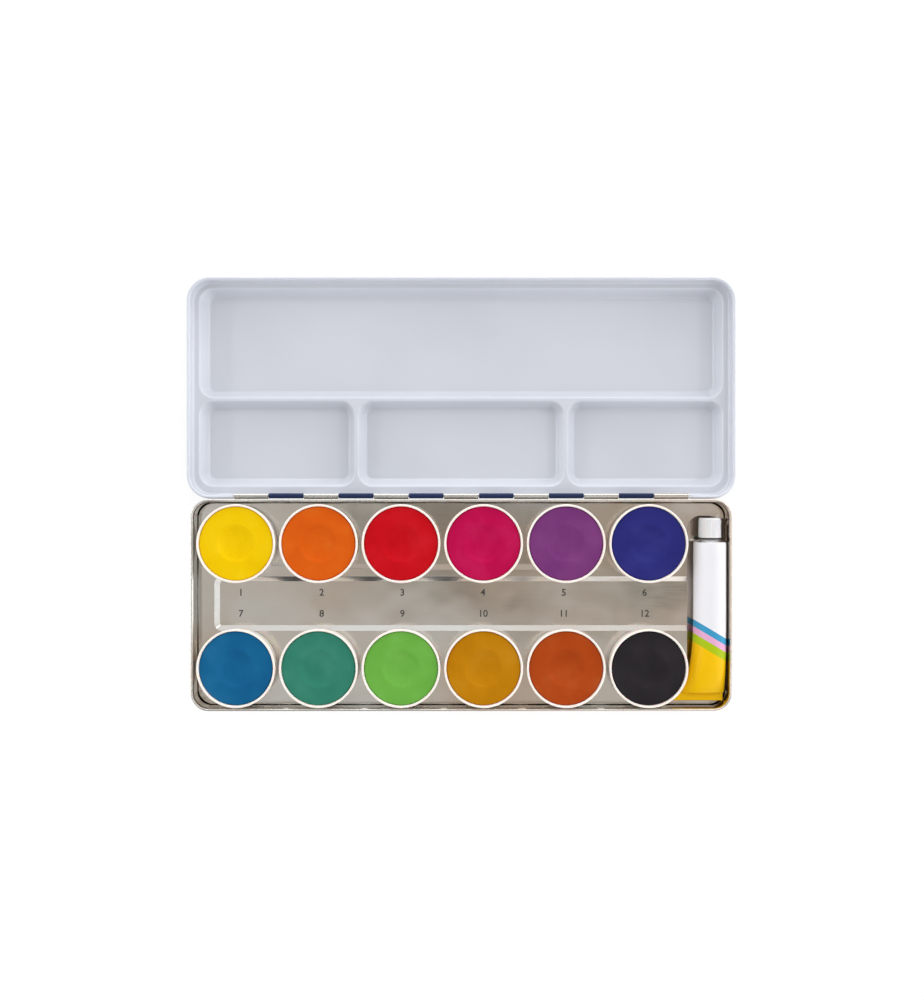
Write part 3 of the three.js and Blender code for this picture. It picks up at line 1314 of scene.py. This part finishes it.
@dataclass
class PrintedNumbers:
    """Plain numbers printed in the brush channel, one for each pan."""

    row: float = 4.1
    height: float = 2.6
    weight: float = 0.06  # how much each stroke is thickened
    film: float = 0.03
    digit_share: float = 0.7  # how high a digit is in its type size

    def build(
        self, ink: bpy.types.Material, pans: Sequence[Point], middle: Point, floor: float
    ) -> bpy.types.Object:
        """Prints the numbers.

        Args:
            ink: their finish.
            pans: the pans' middles, the back row first.
            middle: the middle of the base in plan.
            floor: the height of the channel's floor.

        Returns:
            One object with all the numbers.
        """
        piece = Piece("channel_numbers")
        made = piece.mesh
        for k, (x, y) in enumerate(pans):
            words = bpy.data.curves.new(f"number_{k + 1}", "FONT")
            words.body = str(k + 1)
            words.size = self.height / self.digit_share * MM
            words.offset = self.weight * MM
            words.align_x = "CENTER"
            words.align_y = "CENTER"
            side = 1 if y > middle[1] else -1
            holder = put_in_scene(f"number_{k + 1}", words)
            start = len(made.verts)
            made.from_mesh(worked_out(holder))
            made.verts.ensure_lookup_table()
            for vert in made.verts[start:]:
                vert.co.x += x
                vert.co.y += middle[1] + side * self.row * MM
                vert.co.z = floor
            bpy.data.objects.remove(holder)
        bmesh.ops.dissolve_limit(made, angle_limit=0.01, verts=made.verts, edges=made.edges)
        lifted = bmesh.ops.extrude_face_region(made, geom=made.faces[:])
        for item in lifted["geom"]:
            if isinstance(item, bmesh.types.BMVert):
                item.co.z += self.film * MM
        return piece.finish("base", "tinplate", [ink])


# ---------------------------------------------------------------- lid


@dataclass
class Lid:
    """The lid, pressed into one long and three short mixing wells, white inside, navy outside."""

    hinge: Hinge
    hinge_in: float = 1.09  # how far its hinge side goes past the hinge axis
    length: float = 210.7
    width: float = 85.14
    corner: float = 9.0
    depth: float = 10.0
    rim_out: float = 1.0
    rim_radius: float = 0.66
    sheet: float = 0.3
    ledge_deep: float = 4.6
    skirt_foot: float = 0.9
    well_side: float = 101.9
    well_near: float = 3.4
    well_far: float = 80.8
    long_ridge: float = 37.4
    long_half: float = 0.25
    cross_ridge: float = 40.6
    cross_half: float = 0.2
    slope: float = 3.7
    brim: float = 0.8
    foot: float = 1.1
    well_corner: float = 5.8
    wall_in: float = 0.1  # how far the wall stands in from the rim's root
    rim_root: float = 0.9  # how far the wall's top is under the middle of the rim's roll
    hinge_room: float = 0.3  # how far the unrolled stretch of rim goes past the hinge
    open_over: float = 1.3  # how far under the hinge axis that stretch is open from

    def rim_section(self) -> list[Point]:
        """The section from the curl's end over the rim to the ledge.

        Returns:
            (inset from the outer edge, height) pairs, in metres.
        """
        roll = self.rim_radius * MM
        top = self.depth * MM - roll
        wall = (self.rim_out + self.sheet + self.wall_in) * MM
        ledge = (self.depth - self.ledge_deep) * MM
        outer = arc((roll, top), roll, 255, 180, 7)
        over = arc((roll, top), roll, 180, 0, 14)[1:]
        root = [(wall, top - self.rim_root * MM)]
        return outer + over + root + round_foot(wall, ledge, self.skirt_foot * MM, 6)

    def wells(self) -> list[tuple[float, float, float, float]]:
        """The wells, measured from the middle of the hinge.

        Returns:
            The left, right, near and far edges of each well at its brim, in millimetres.
        """
        far = self.long_ridge + self.long_half
        near = self.long_ridge - self.long_half
        inner = self.cross_ridge - self.cross_half
        outer = self.cross_ridge + self.cross_half
        return [
            (-self.well_side, self.well_side, far, self.well_far),
            (-self.well_side, -outer, self.well_near, near),
            (-inner, inner, self.well_near, near),
            (outer, self.well_side, self.well_near, near),
        ]

    def build(
        self, white: bpy.types.Material, navy: bpy.types.Material, near_edge: float
    ) -> bpy.types.Object:
        """Builds the lid's sheet.

        Args:
            white: the finish of its inside.
            navy: the finish of its outside.
            near_edge: where its hinge side is in plan.

        Returns:
            The new object.
        """
        half = (self.length / 2 * MM, self.width / 2 * MM)
        centre = (0.0, near_edge + half[1])
        stop = self.hinge.half_length() + self.hinge_room * MM
        piece = Piece("lid_sheet")
        rings = []
        for inset, height in self.rim_section():
            outline = rounded_outline(
                (half[0] - inset, half[1] - inset), self.corner * MM - inset, centre,
                near_stops=(-stop, stop),
            )
            rings.append(piece.flat_loop(outline, height))
        open_from = self.hinge.axis_z - self.open_over * MM

        def in_hinge(a: Vector, b: Vector) -> bool:
            """Whether a rim side lies along the hinge, where the rim isn't rolled."""
            along = max(abs(a.x), abs(b.x)) <= stop + SEAM_MM * MM
            return along and max(a.y, b.y) < centre[1] and max(a.z, b.z) > open_from

        piece.skin(rings, in_hinge)
        ledge = (self.depth - self.ledge_deep) * MM
        section = pressed_side(
            self.slope * MM, ledge - self.sheet * MM, self.brim * MM, self.foot * MM
        )
        holes = []
        for left, right, near, far in self.wells():
            size = ((right - left) / 2 * MM, (far - near) / 2 * MM)
            middle = ((right + left) / 2 * MM, self.hinge.axis_y + (near + far) / 2 * MM)
            well = [
                piece.flat_loop(
                    rounded_outline(
                        (size[0] - i, size[1] - i), self.well_corner * MM - i, middle, 12
                    ),
                    ledge + z,
                )
                for i, z in section
            ]
            piece.skin(well)
            piece.cap(well[-1])
            holes.append(well[0])
        piece.plate(rings[-1], holes)
        return piece.finish(
            "lid", "white_lacquer", [white, navy], ["lid_shell"], self.sheet, turned_up=True
        )


# ---------------------------------------------------------------- pans


class Hue(Enum):
    """The twelve paints, each with its deep, middle and light tone."""

    YELLOW = ("yellow", "E2B800", "F0C606", "F6D21E")
    ORANGE = ("orange", "CC4E0E", "D95E14", "E27626")
    RED = ("red", "B50C18", "C5111C", "D02430")
    MAGENTA = ("magenta", "AC0840", "BC104D", "C72C60")
    VIOLET = ("violet", "6B2F70", "793A78", "874A86")
    ULTRAMARINE = ("ultramarine", "25256A", "2D2E77", "3A3C86")
    BLUE = ("blue", "115184", "17618F", "2C74A2")
    BLUE_GREEN = ("blue_green", "2A725E", "35806B", "4A917C")
    YELLOW_GREEN = ("yellow_green", "5DA33B", "6CAF47", "80BD5A")
    OCHRE = ("ochre", "AF6E05", "BE7E0B", "C98E24")
    SIENNA = ("sienna", "A03A10", "AE4718", "BA5B2C")
    BLACK = ("black", "231F22", "2B282B", "383438")

    @property
    def slot(self) -> str:
        """The record's material slot of this paint."""
        return "paint_" + self.value[0]

    def paint(self) -> PressedPaint:
        """This paint's finish."""
        name, deep, colour, light = self.value
        return PressedPaint("pressed_paint_" + name, colour, deep, light)


@dataclass
class Pan:
    """One moulded cup and the cake of paint pressed into it."""

    number: int
    hue: Hue
    wall: float = 0.8
    rim_radius: float = 0.38
    foot_ring: float = 14.4
    floor: float = 2.4
    cake_radius: float = 14.12
    cake_top: float = 7.3
    dimple: float = 6.9
    dimple_deep: float = 1.1
    sides: int = 96
    inner_foot: float = 13.72  # radius of the floor inside the cup
    web: float = 1.0  # thickness of the floor
    cake_foot: Point = (13.6, 6.4)  # the cake's radius at its foot, and where it is widest
    groove: Point = (0.5, 0.75)  # width and depth of the gap beside the cup's wall
    edge_rows: int = 8  # rings over the cake's edge, and how far apart they are
    edge_step: float = 0.08
    inner_rows: int = 25
    inner_step: float = 0.52

    def middle(self) -> Point:
        """The pan's middle in plan."""
        low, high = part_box(f"pan_cup_{self.number:02d}")
        return ((low.x + high.x) / 2, (low.y + high.y) / 2)

    def cup_section(self, radius: float, height: float) -> list[Point]:
        """The cup's section from its hollow foot to its floor.

        Args:
            radius: the cup's radius.
            height: its height.

        Returns:
            (radius, height) pairs, in metres.
        """
        lip = self.rim_radius * MM
        wall = self.wall * MM
        foot = self.foot_ring * MM
        floor = self.floor * MM
        under = floor - self.web * MM
        # The foot ring is about 1 mm thick, with eased edges and a small fillet inside.
        outer = [
            (0.0, under),
            (foot - 1.3 * MM, under),
            (foot - 1.05 * MM, floor - 1.25 * MM),
            (foot - 0.95 * MM, 0.15 * MM),
            (foot - 0.8 * MM, 0.0),
            (foot - 0.2 * MM, 0.0),
            (foot, 0.2 * MM),
        ]
        # A faint flange stands out just under the lip, where the mould parts.
        outer += [(radius - 0.22 * MM, height - 1.5 * MM), (radius - 0.02 * MM, height - 1.3 * MM)]
        lips = arc((radius - lip, height - lip), lip, 0, 90, 5)
        inside = arc((radius - wall + lip * 0.8, height - lip * 0.8), lip * 0.8, 90, 180, 4)
        base = [(self.inner_foot * MM, floor + 0.3 * MM), (0.0, floor)]
        return outer + lips + inside + base

    def build_cup(self, plastic: bpy.types.Material) -> bpy.types.Object:
        """Moulds the cup.

        Args:
            plastic: its finish.

        Returns:
            The new object.
        """
        node = f"pan_cup_{self.number:02d}"
        low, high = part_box(node)
        x, y = self.middle()
        piece = Piece(f"cup_{self.number:02d}")
        section = self.cup_section((high.x - low.x) / 2, high.z - low.z)
        piece.turn(section, (x, y, low.z), self.sides)
        return piece.finish(f"pan_{self.number:02d}", "pan_plastic", [plastic], [node])

    def cake_height(self, radius: float, angle: float) -> float:
        """The cake's surface, pressed with a shallow middle and a soft edge.

        Args:
            radius: how far from the middle, in metres.
            angle: which way from the middle, in radians.

        Returns:
            The height over the pan's foot, in metres.
        """
        reach = self.cake_radius * MM
        top = self.cake_top * MM
        hollow = self.dimple * MM
        if radius < hollow:
            share = radius / hollow
            top -= self.dimple_deep * MM * (1 - share**2) ** 0.6
        groove = self.groove[0] * MM
        edge = max(0.0, radius - (reach - groove)) / groove
        top -= self.groove[1] * MM * edge**2.2
        at = Vector((radius * math.cos(angle), radius * math.sin(angle), self.number * 0.05))
        top += 0.03 * MM * noise.fractal(at * per_mm(4.5), 1.0, 2.0, 3)
        return top + 0.014 * MM * noise.noise(at * per_mm(0.9))

    def build_cake(self) -> bpy.types.Object:
        """Presses the cake of paint and gives it its own finish.

        Returns:
            The new object.
        """
        node = f"paint_cake_{self.number:02d}"
        cup_low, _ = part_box(f"pan_cup_{self.number:02d}")
        low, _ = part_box(node)
        x, y = self.middle()
        reach = self.cake_radius * MM
        foot, widest = self.cake_foot
        piece = Piece(f"cake_{self.number:02d}")
        rings = [
            piece.loop(
                (x + r * math.cos(a), y + r * math.sin(a), z)
                for a in angles(self.sides)
            )
            for r, z in ((foot * MM, low.z), (reach, cup_low.z + widest * MM))
        ]
        radii = [reach - self.edge_step * MM * k for k in range(self.edge_rows)]
        radii += [radii[-1] - self.inner_step * MM * (k + 1) for k in range(self.inner_rows)]
        for radius in radii:
            rings.append(
                piece.loop(
                    (x + radius * math.cos(a), y + radius * math.sin(a),
                     cup_low.z + self.cake_height(radius, a))
                    for a in angles(self.sides)
                )
            )
        piece.skin(rings)
        piece.fan(rings[-1], (x, y, cup_low.z + self.cake_height(0.0, 0.0)))
        piece.cap(rings[0][::-1])
        finish = self.hue.paint().build()
        return piece.finish(f"pan_{self.number:02d}", self.hue.slot, [finish], [node])


# ---------------------------------------------------------------- tube of white


@dataclass
class PaintTube:
    """A soft metal tube, round at its shoulder and folded flat at its end, with a ribbed cap."""

    radius: float = 6.2
    body_length: float = 61.1
    sides: int = 72
    body_rows: int = 64
    shoulder_share: float = 0.955  # the shoulder's radius, as a share of the tube's
    neck: float = 3.0
    neck_end: float = 6.9
    thread: Point = (2.3, 1.35)  # where the first turn starts, and the pitch
    turns: int = 3
    thread_deep: float = 0.25
    mouth: float = 2.0
    mouth_floor: float = 3.0
    crimp_half: float = 0.6
    spread: float = 0.55
    lean: float = 1.3
    widening: float = 6.5
    flattening: float = 8.0
    fold: float = 3.4
    fold_rows: int = 14
    bead: float = 0.07  # height of the ribs rolled across the fold
    ribs: int = 30
    rib_deep: float = 0.22
    cap_bore: float = 3.35

    def place(self) -> tuple[float, float, float]:
        """Finds where the tube lies.

        Returns:
            The axis's X, the shoulder's Y and the axis's Z, in metres.
        """
        joint = next(j for j in frame["joints"] if j["name"] == "cap_turn")
        low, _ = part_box("tube_body")
        return joint["pos_m"][0], low.y + self.body_length * MM, joint["pos_m"][2]

    def ring(self, along: float, scale: float = 1.0) -> list[Place]:
        """The tube's section, which flattens and spreads toward its end.

        Args:
            along: how far from shoulder to end, from 0 to 1.
            scale: a factor on its size.

        Returns:
            The points round it.
        """
        x, y, z = self.place()
        wide = 1 + self.spread * along**self.widening
        flat = along**self.flattening
        high = 1 - flat + flat * self.crimp_half / self.radius
        size = self.radius * MM * scale
        points: list[Place] = []
        for angle in angles(self.sides):
            u = size * math.cos(angle) * wide - self.radius * MM * (wide - 1)
            v = size * math.sin(angle) * high
            at = Vector((math.cos(angle) * 0.6, along * 5.0, math.sin(angle) * 0.6))
            dent = 0.16 * MM * along * noise.noise(at * 1.7) * (1 - flat)
            points.append(
                (x + u - self.lean * MM * flat + dent * math.cos(angle) * 0.2,
                 y - along * self.body_length * MM,
                 z + v + dent * math.sin(angle))
            )
        return points

    def build_body(self) -> bpy.types.Object:
        """Builds the printed wall and its folded end.

        Returns:
            The new object.
        """
        x, y, _ = self.place()
        lacquer = PrintedTubeLacquer(
            "printed_tube_lacquer", y, y - self.body_length * MM, x
        ).build()
        piece = Piece("tube_wall")
        start = piece.loop(self.ring(0.0, 0.93))
        rings = [start, piece.loop(self.ring(0.004, 0.985))]
        fold_from = 1 - self.fold / self.body_length
        wall_from = 0.008
        for k in range(1, self.body_rows + 1):
            along = wall_from + (fold_from - wall_from) * k / self.body_rows
            rings.append(piece.loop(self.ring(along)))
        piece.skin(rings)
        self.add_fold(piece, rings[-1])
        piece.cap(start[::-1])
        return piece.finish("tube", "tube_lacquer", [lacquer], ["tube_body"])

    def add_fold(self, piece: Piece, last: Loop) -> None:
        """Adds the folded and ribbed strip that closes the tube's end.

        Args:
            piece: the tube's wall.
            last: the wall's last ring.
        """
        x, y, z = self.place()
        near = y - self.body_length * MM
        length = self.fold * MM
        wide = self.radius * MM * (1 + self.spread)
        centre = x + self.radius * MM - wide - self.lean * MM
        thick = self.crimp_half * MM
        rings = [last]
        for k in range(self.fold_rows + 1):
            share = k / self.fold_rows
            bead = self.bead * MM * math.cos(share * 6 * math.pi)
            ease = min(1.0, share / 0.06, (1 - share) / 0.05 + 0.25)
            ring = []
            for angle in angles(self.sides):
                cos, sin = math.cos(angle), math.sin(angle)
                u = math.copysign(abs(cos) ** 0.25, cos) * (wide - 0.05 * MM)
                v = math.copysign(abs(sin) ** 0.25, sin) * (thick * ease + bead)
                ring.append((centre + u, near + length * (1 - share), z + v))
            rings.append(piece.loop(ring))
        piece.skin(rings)
        piece.cap(rings[-1])

    def build_shoulder(self, aluminium: bpy.types.Material) -> bpy.types.Object:
        """Builds the bare shoulder and the threaded neck under the cap.

        Args:
            aluminium: its finish.

        Returns:
            The new object.
        """
        edge = self.radius * self.shoulder_share * MM
        neck = self.neck * MM
        root = neck - self.thread_deep * MM
        profile = [(0.0, -0.6 * MM), (edge - 0.5 * MM, -0.6 * MM), (edge, -0.05 * MM),
                   (edge - 0.15 * MM, 0.12 * MM)]
        profile += [(neck + 0.9 * MM, 1.12 * MM), (neck + 0.25 * MM, 1.2 * MM), (neck, 1.35 * MM)]
        for k in range(self.turns):
            foot = (self.thread[0] + self.thread[1] * k) * MM
            profile += [(root, foot), (neck, foot + 0.4 * MM), (neck, foot + 0.55 * MM),
                        (root, foot + 0.95 * MM)]
        end = self.neck_end * MM
        mouth = self.mouth * MM
        floor = self.mouth_floor * MM
        profile += [(neck - 0.3 * MM, end), (neck - 0.5 * MM, end), (mouth, end - 0.2 * MM),
                    (mouth, floor), (0.0, floor)]
        piece = Piece("tube_shoulder")
        piece.turn(profile, self.place(), self.sides, axis="Y")
        return piece.finish("tube", "tube_lacquer", [aluminium])

    def build_cap(self, plastic: bpy.types.Material) -> bpy.types.Object:
        """Moulds the ribbed screw cap.

        Args:
            plastic: its finish.

        Returns:
            The new object.
        """
        low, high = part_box("tube_cap")
        x, _, z = self.place()
        radius = (high.x - low.x) / 2
        length = high.y - low.y
        sides = self.ribs * 8
        # Each ring's share of the cap's radius, its place along the cap and how deep its ribs are.
        outside = [
            (0.955, 0.0, 0.0), (0.985, 0.12 * MM, 0.0), (0.99, 0.55 * MM, 0.0),
            (0.985, 0.75 * MM, 1.0), (0.965, length - 0.9 * MM, 1.0),
            (0.955, length - 0.6 * MM, 0.2), (0.93, length - 0.25 * MM, 0.0),
            (0.88, length - 0.04 * MM, 0.0), (0.84, length, 0.0), (0.5, length - 0.03 * MM, 0.0),
        ]
        piece = Piece("ribbed_cap")
        rings = []
        bore = self.cap_bore * MM
        for r, along in ((bore, length - 1.7 * MM), (bore, 0.3 * MM), (bore + 0.2 * MM, 0.0)):
            rings.append(
                piece.loop(
                    (x + r * math.cos(a), low.y + along, z + r * math.sin(a))
                    for a in angles(sides)
                )
            )
        for share, along, ribbed in outside:
            ring = []
            for a in angles(sides):
                wave = 0.5 - 0.5 * math.cos(a * self.ribs)
                r = radius * share - self.rib_deep * MM * ribbed * wave**1.6
                ring.append((x + r * math.cos(a), low.y + along, z + r * math.sin(a)))
            rings.append(piece.loop(ring))
        piece.skin(rings)
        piece.fan(rings[-1], (x, high.y - 0.03 * MM, z))
        piece.cap(rings[0][::-1])
        return piece.finish("cap", "cap_plastic", [plastic], ["tube_cap"])

    def dress_paint(self, paint: bpy.types.Material) -> None:
        """Gives the paint inside the tube its finish.

        Args:
            paint: the finish.
        """
        node = frame["nodes"]["tube_paint"]
        node.data.materials.clear()
        node.data.materials.append(paint)


# ---------------------------------------------------------------- studio


@dataclass
class Studio:
    """A pale paper floor, soft light from all round, and a camera looking straight down."""

    distance: float = 380.0  # camera above the base's rim
    view_height: float = 381.5  # height of the view at the base's rim
    behind_hinge: float = 1.6
    aside: float = 0.3
    room_colour: str = "F4F4F5"
    top_light: float = 0.86
    ring_light: float = 2.4
    ring_power: float = 2.6
    back_gain: float = -0.04
    right_gain: float = 0.1
    rig_scale: float = 9.0
    hood_edge: Point = (0.993, 0.9985)  # cosines from straight up where the dark hood fades in
    hood_colour: str = "5C5C52"
    hood_dark: float = 0.62
    rig_tones: Stops = ((0.35, "7B7A6E"), (0.42, "BFBBAE"), (0.47, "E0C9B6"), (0.52, "DAD8D1"))
    overhead: Point = (0.86, 0.95)  # cosines from straight up where the rig fades in
    flag_way: Place = (-0.3, -0.83, 0.47)
    flag_edge: Point = (0.88, 0.95)  # cosines from the flag's middle where it fades in
    flag_light: float = 0.06  # how much light the flag lets through
    key_watts: float = 2.2
    key_place: Place = (0.1, 1.0, 0.26)  # in metres
    key_size: Point = (1.6, 0.3)  # in metres
    strip_watts: float = 0.8
    floor_half: float = 3.0  # half the floor's width, in metres
    floor_drop: float = 0.1  # how far the floor is under the tin
    sensor: float = 36.0
    strips: tuple[tuple[str, Place, Point], ...] = (  # name, place and size, in metres
        ("back_strip", (0.1, 0.62, 0.78), (0.9, 0.07)),
        ("right_strip", (0.8, 0.1, 0.62), (0.8, 0.05)),
        ("left_strip", (-0.85, 0.0, 0.5), (0.6, 0.05)),
    )

    def build_floor(self, paper: bpy.types.Material) -> None:
        """Lays the floor.

        Args:
            paper: its finish.
        """
        piece = bmesh.new()
        size = self.floor_half
        ring = [piece.verts.new((x * size, y * size, -self.floor_drop * MM))
                for x, y in ((-1, -1), (1, -1), (1, 1), (-1, 1))]
        piece.faces.new(ring)
        data = bpy.data.meshes.new("paper_floor")
        piece.to_mesh(data)
        piece.free()
        data.materials.append(paper)
        floor = put_in_scene("paper_floor", data)

    def add_softbox(self, name: str, place: Place, size: Point, watts: float) -> None:
        """Hangs one soft light that faces the middle of the set.

        Args:
            name: its name.
            place: where it hangs, in metres.
            size: its width and height, in metres.
            watts: its power.
        """
        data = bpy.data.lights.new(name, "AREA")
        data.shape = "RECTANGLE"
        data.size, data.size_y = size
        data.energy = watts
        lamp = put_in_scene(name, data)
        lamp.location = place
        lamp.rotation_mode = "QUATERNION"
        lamp.rotation_quaternion = (-Vector(place)).to_track_quat("-Z", "Y")

    def build_light(self) -> None:
        """Sets the surrounding light and the softboxes."""
        world = bpy.data.worlds.new("studio_room")
        bpy.context.scene.world = world
        world.use_nodes = True
        world.node_tree.nodes.clear()
        look = add_node(world, "TexCoord")
        axes = add_node(world, "SeparateXYZ", {"Vector": (look, "Generated")})
        # Light comes mostly from the sides, as in a tent, and a little more from the right.
        low = add_node(world, "Math", {0: 1.0, 1: (axes, "Z")}, operation="SUBTRACT", use_clamp=True)
        ring = add_node(world, "Math", {0: (low, 0), 1: self.ring_power}, operation="POWER")
        tent = add_node(
            world, "Math", {0: (ring, 0), 1: self.ring_light, 2: self.top_light},
            operation="MULTIPLY_ADD",
        )
        sideways = add_node(
            world, "Math", {0: (axes, "X"), 1: self.right_gain, 2: 1.0}, operation="MULTIPLY_ADD"
        )
        level = add_node(
            world, "Math", {0: (axes, "Y"), 1: self.back_gain, 2: (sideways, 0)},
            operation="MULTIPLY_ADD",
        )
        power = add_node(world, "Math", {0: (level, 0), 1: (tent, 0)}, operation="MULTIPLY")
        # A black flag low in front gives the bare metal its dark edges.
        toward = add_node(
            world, "VectorMath", {0: (look, "Generated"), 1: self.flag_way}, operation="DOT_PRODUCT"
        )
        flag = add_node(
            world, "MapRange",
            {"Value": (toward, "Value"), "From Min": self.flag_edge[0],
             "From Max": self.flag_edge[1], "To Min": 1.0, "To Max": self.flag_light},
        )
        flagged = add_node(world, "Math", {0: (power, 0), 1: (flag, 0)}, operation="MULTIPLY")
        # Overhead hang the camera and its rig, which the flat tinplate mirrors as soft patches.
        rig = add_node(
            world, "TexNoise", {"Vector": (look, "Generated"), "Scale": self.rig_scale, "Detail": 2.0}
        )
        shapes = add_node(
            world, "ValToRGB", {"Fac": (rig, "Fac")},
            [*self.rig_tones, (0.6, self.room_colour)],
        )
        lens_hood = add_node(
            world, "MapRange",
            {"Value": (axes, "Z"), "From Min": self.hood_edge[0], "From Max": self.hood_edge[1],
             "To Max": self.hood_dark},
        )
        hung = add_node(
            world, "Mix",
            {"Factor": (lens_hood, "Result"), 6: (shapes, "Color"), 7: linear(self.hood_colour)},
            data_type="RGBA",
        )
        overhead = add_node(
            world, "MapRange",
            {"Value": (axes, "Z"), "From Min": self.overhead[0], "From Max": self.overhead[1]},
        )
        room = add_node(
            world, "Mix",
            {"Factor": (overhead, "Result"), 6: linear(self.room_colour), 7: (hung, 2)},
            data_type="RGBA",
        )
        sky = add_node(world, "Background", {"Color": (room, 2), "Strength": (flagged, 0)})
        add_node(world, "OutputWorld", {"Surface": (sky, 0)})
        # The low back light fills the slopes, and the narrow strips draw crisp lines on the edges.
        self.add_softbox("back_softbox", self.key_place, self.key_size, self.key_watts)
        for name, place, size in self.strips:
            self.add_softbox(name, place, size, self.strip_watts)

    def build_camera(self, rim: float, hinge_y: float) -> None:
        """Sets the camera above the opened set.

        Args:
            rim: the height of the base's rim.
            hinge_y: where the hinge axis is in plan.
        """
        data = bpy.data.cameras.new("camera")
        data.sensor_width = self.sensor
        data.lens = self.sensor * self.distance / self.view_height
        data.clip_start = 0.01
        camera = put_in_scene("camera", data)
        camera.location = (
            self.aside * MM, hinge_y - self.behind_hinge * MM, rim + self.distance * MM
        )
        bpy.context.scene.camera = camera
        bpy.context.scene.view_settings.view_transform = "Standard"


# ---------------------------------------------------------------- the whole set


def main() -> None:
    logging.basicConfig(level=logging.INFO, format="%(name)s %(message)s")
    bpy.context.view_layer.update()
    hinge_joint = next(j for j in frame["joints"] if j["name"] == "lid_hinge")
    hinge = Hinge(hinge_joint["pos_m"][1], hinge_joint["pos_m"][2])
    tinplate = BrightTinplate().build()
    white = StovedLacquer("white_stoved_lacquer", "D2D6DF", "CDD1DA").build()
    navy = StovedLacquer("navy_stoved_lacquer", "1F2D52", "1B284A", 0.34, 0.1, 0.15).build()

    base = BaseTin()
    base.build(tinplate)
    hinge.build_knuckles(HingeSide.BASE, "base_knuckles", "base", "tinplate", tinplate)
    hinge.build_knuckles(HingeSide.LID, "lid_knuckles", "lid", "white_lacquer", navy)
    hinge.build_wire(DrawnWire().build())

    pans = [Pan(k + 1, hue) for k, hue in enumerate(Hue)]
    middles = [pan.middle() for pan in pans]
    tin_low, tin_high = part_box("base_tin")
    middle = ((tin_low.x + tin_high.x) / 2, tin_low.y + base.width / 2 * MM)
    tray = InsertTray()
    tray.build(tinplate, middles, middle)
    _, tray_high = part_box("insert_tray")
    floor = tray_high.z - (tray.plate_drop + tray.channel_deep) * MM
    PrintedNumbers().build(PadInk().build(), middles, middle, floor)

    lid = Lid(hinge)
    lid.build(white, navy, hinge.axis_y - lid.hinge_in * MM)

    cup_plastic = MouldedPlastic("moulded_polystyrene", "F7EFE8", "F3EBE3").build()
    for pan in pans:
        pan.build_cup(cup_plastic)
        pan.build_cake()

    tube = PaintTube()
    tube.build_body()
    tube.build_shoulder(BareAluminium().build())
    tube.build_cap(MouldedPlastic("moulded_polypropylene", "E6E6E7", "DEDEE0", 0.42).build())
    tube.dress_paint(PressedPaint("white_paint", "F4F4F2", "ECECEA", "FAFAFA").build())

    studio = Studio()
    studio.build_floor(StudioPaper().build())
    studio.build_light()
    studio.build_camera(tin_high.z, hinge.axis_y)


if __name__ == "__main__":
    main()
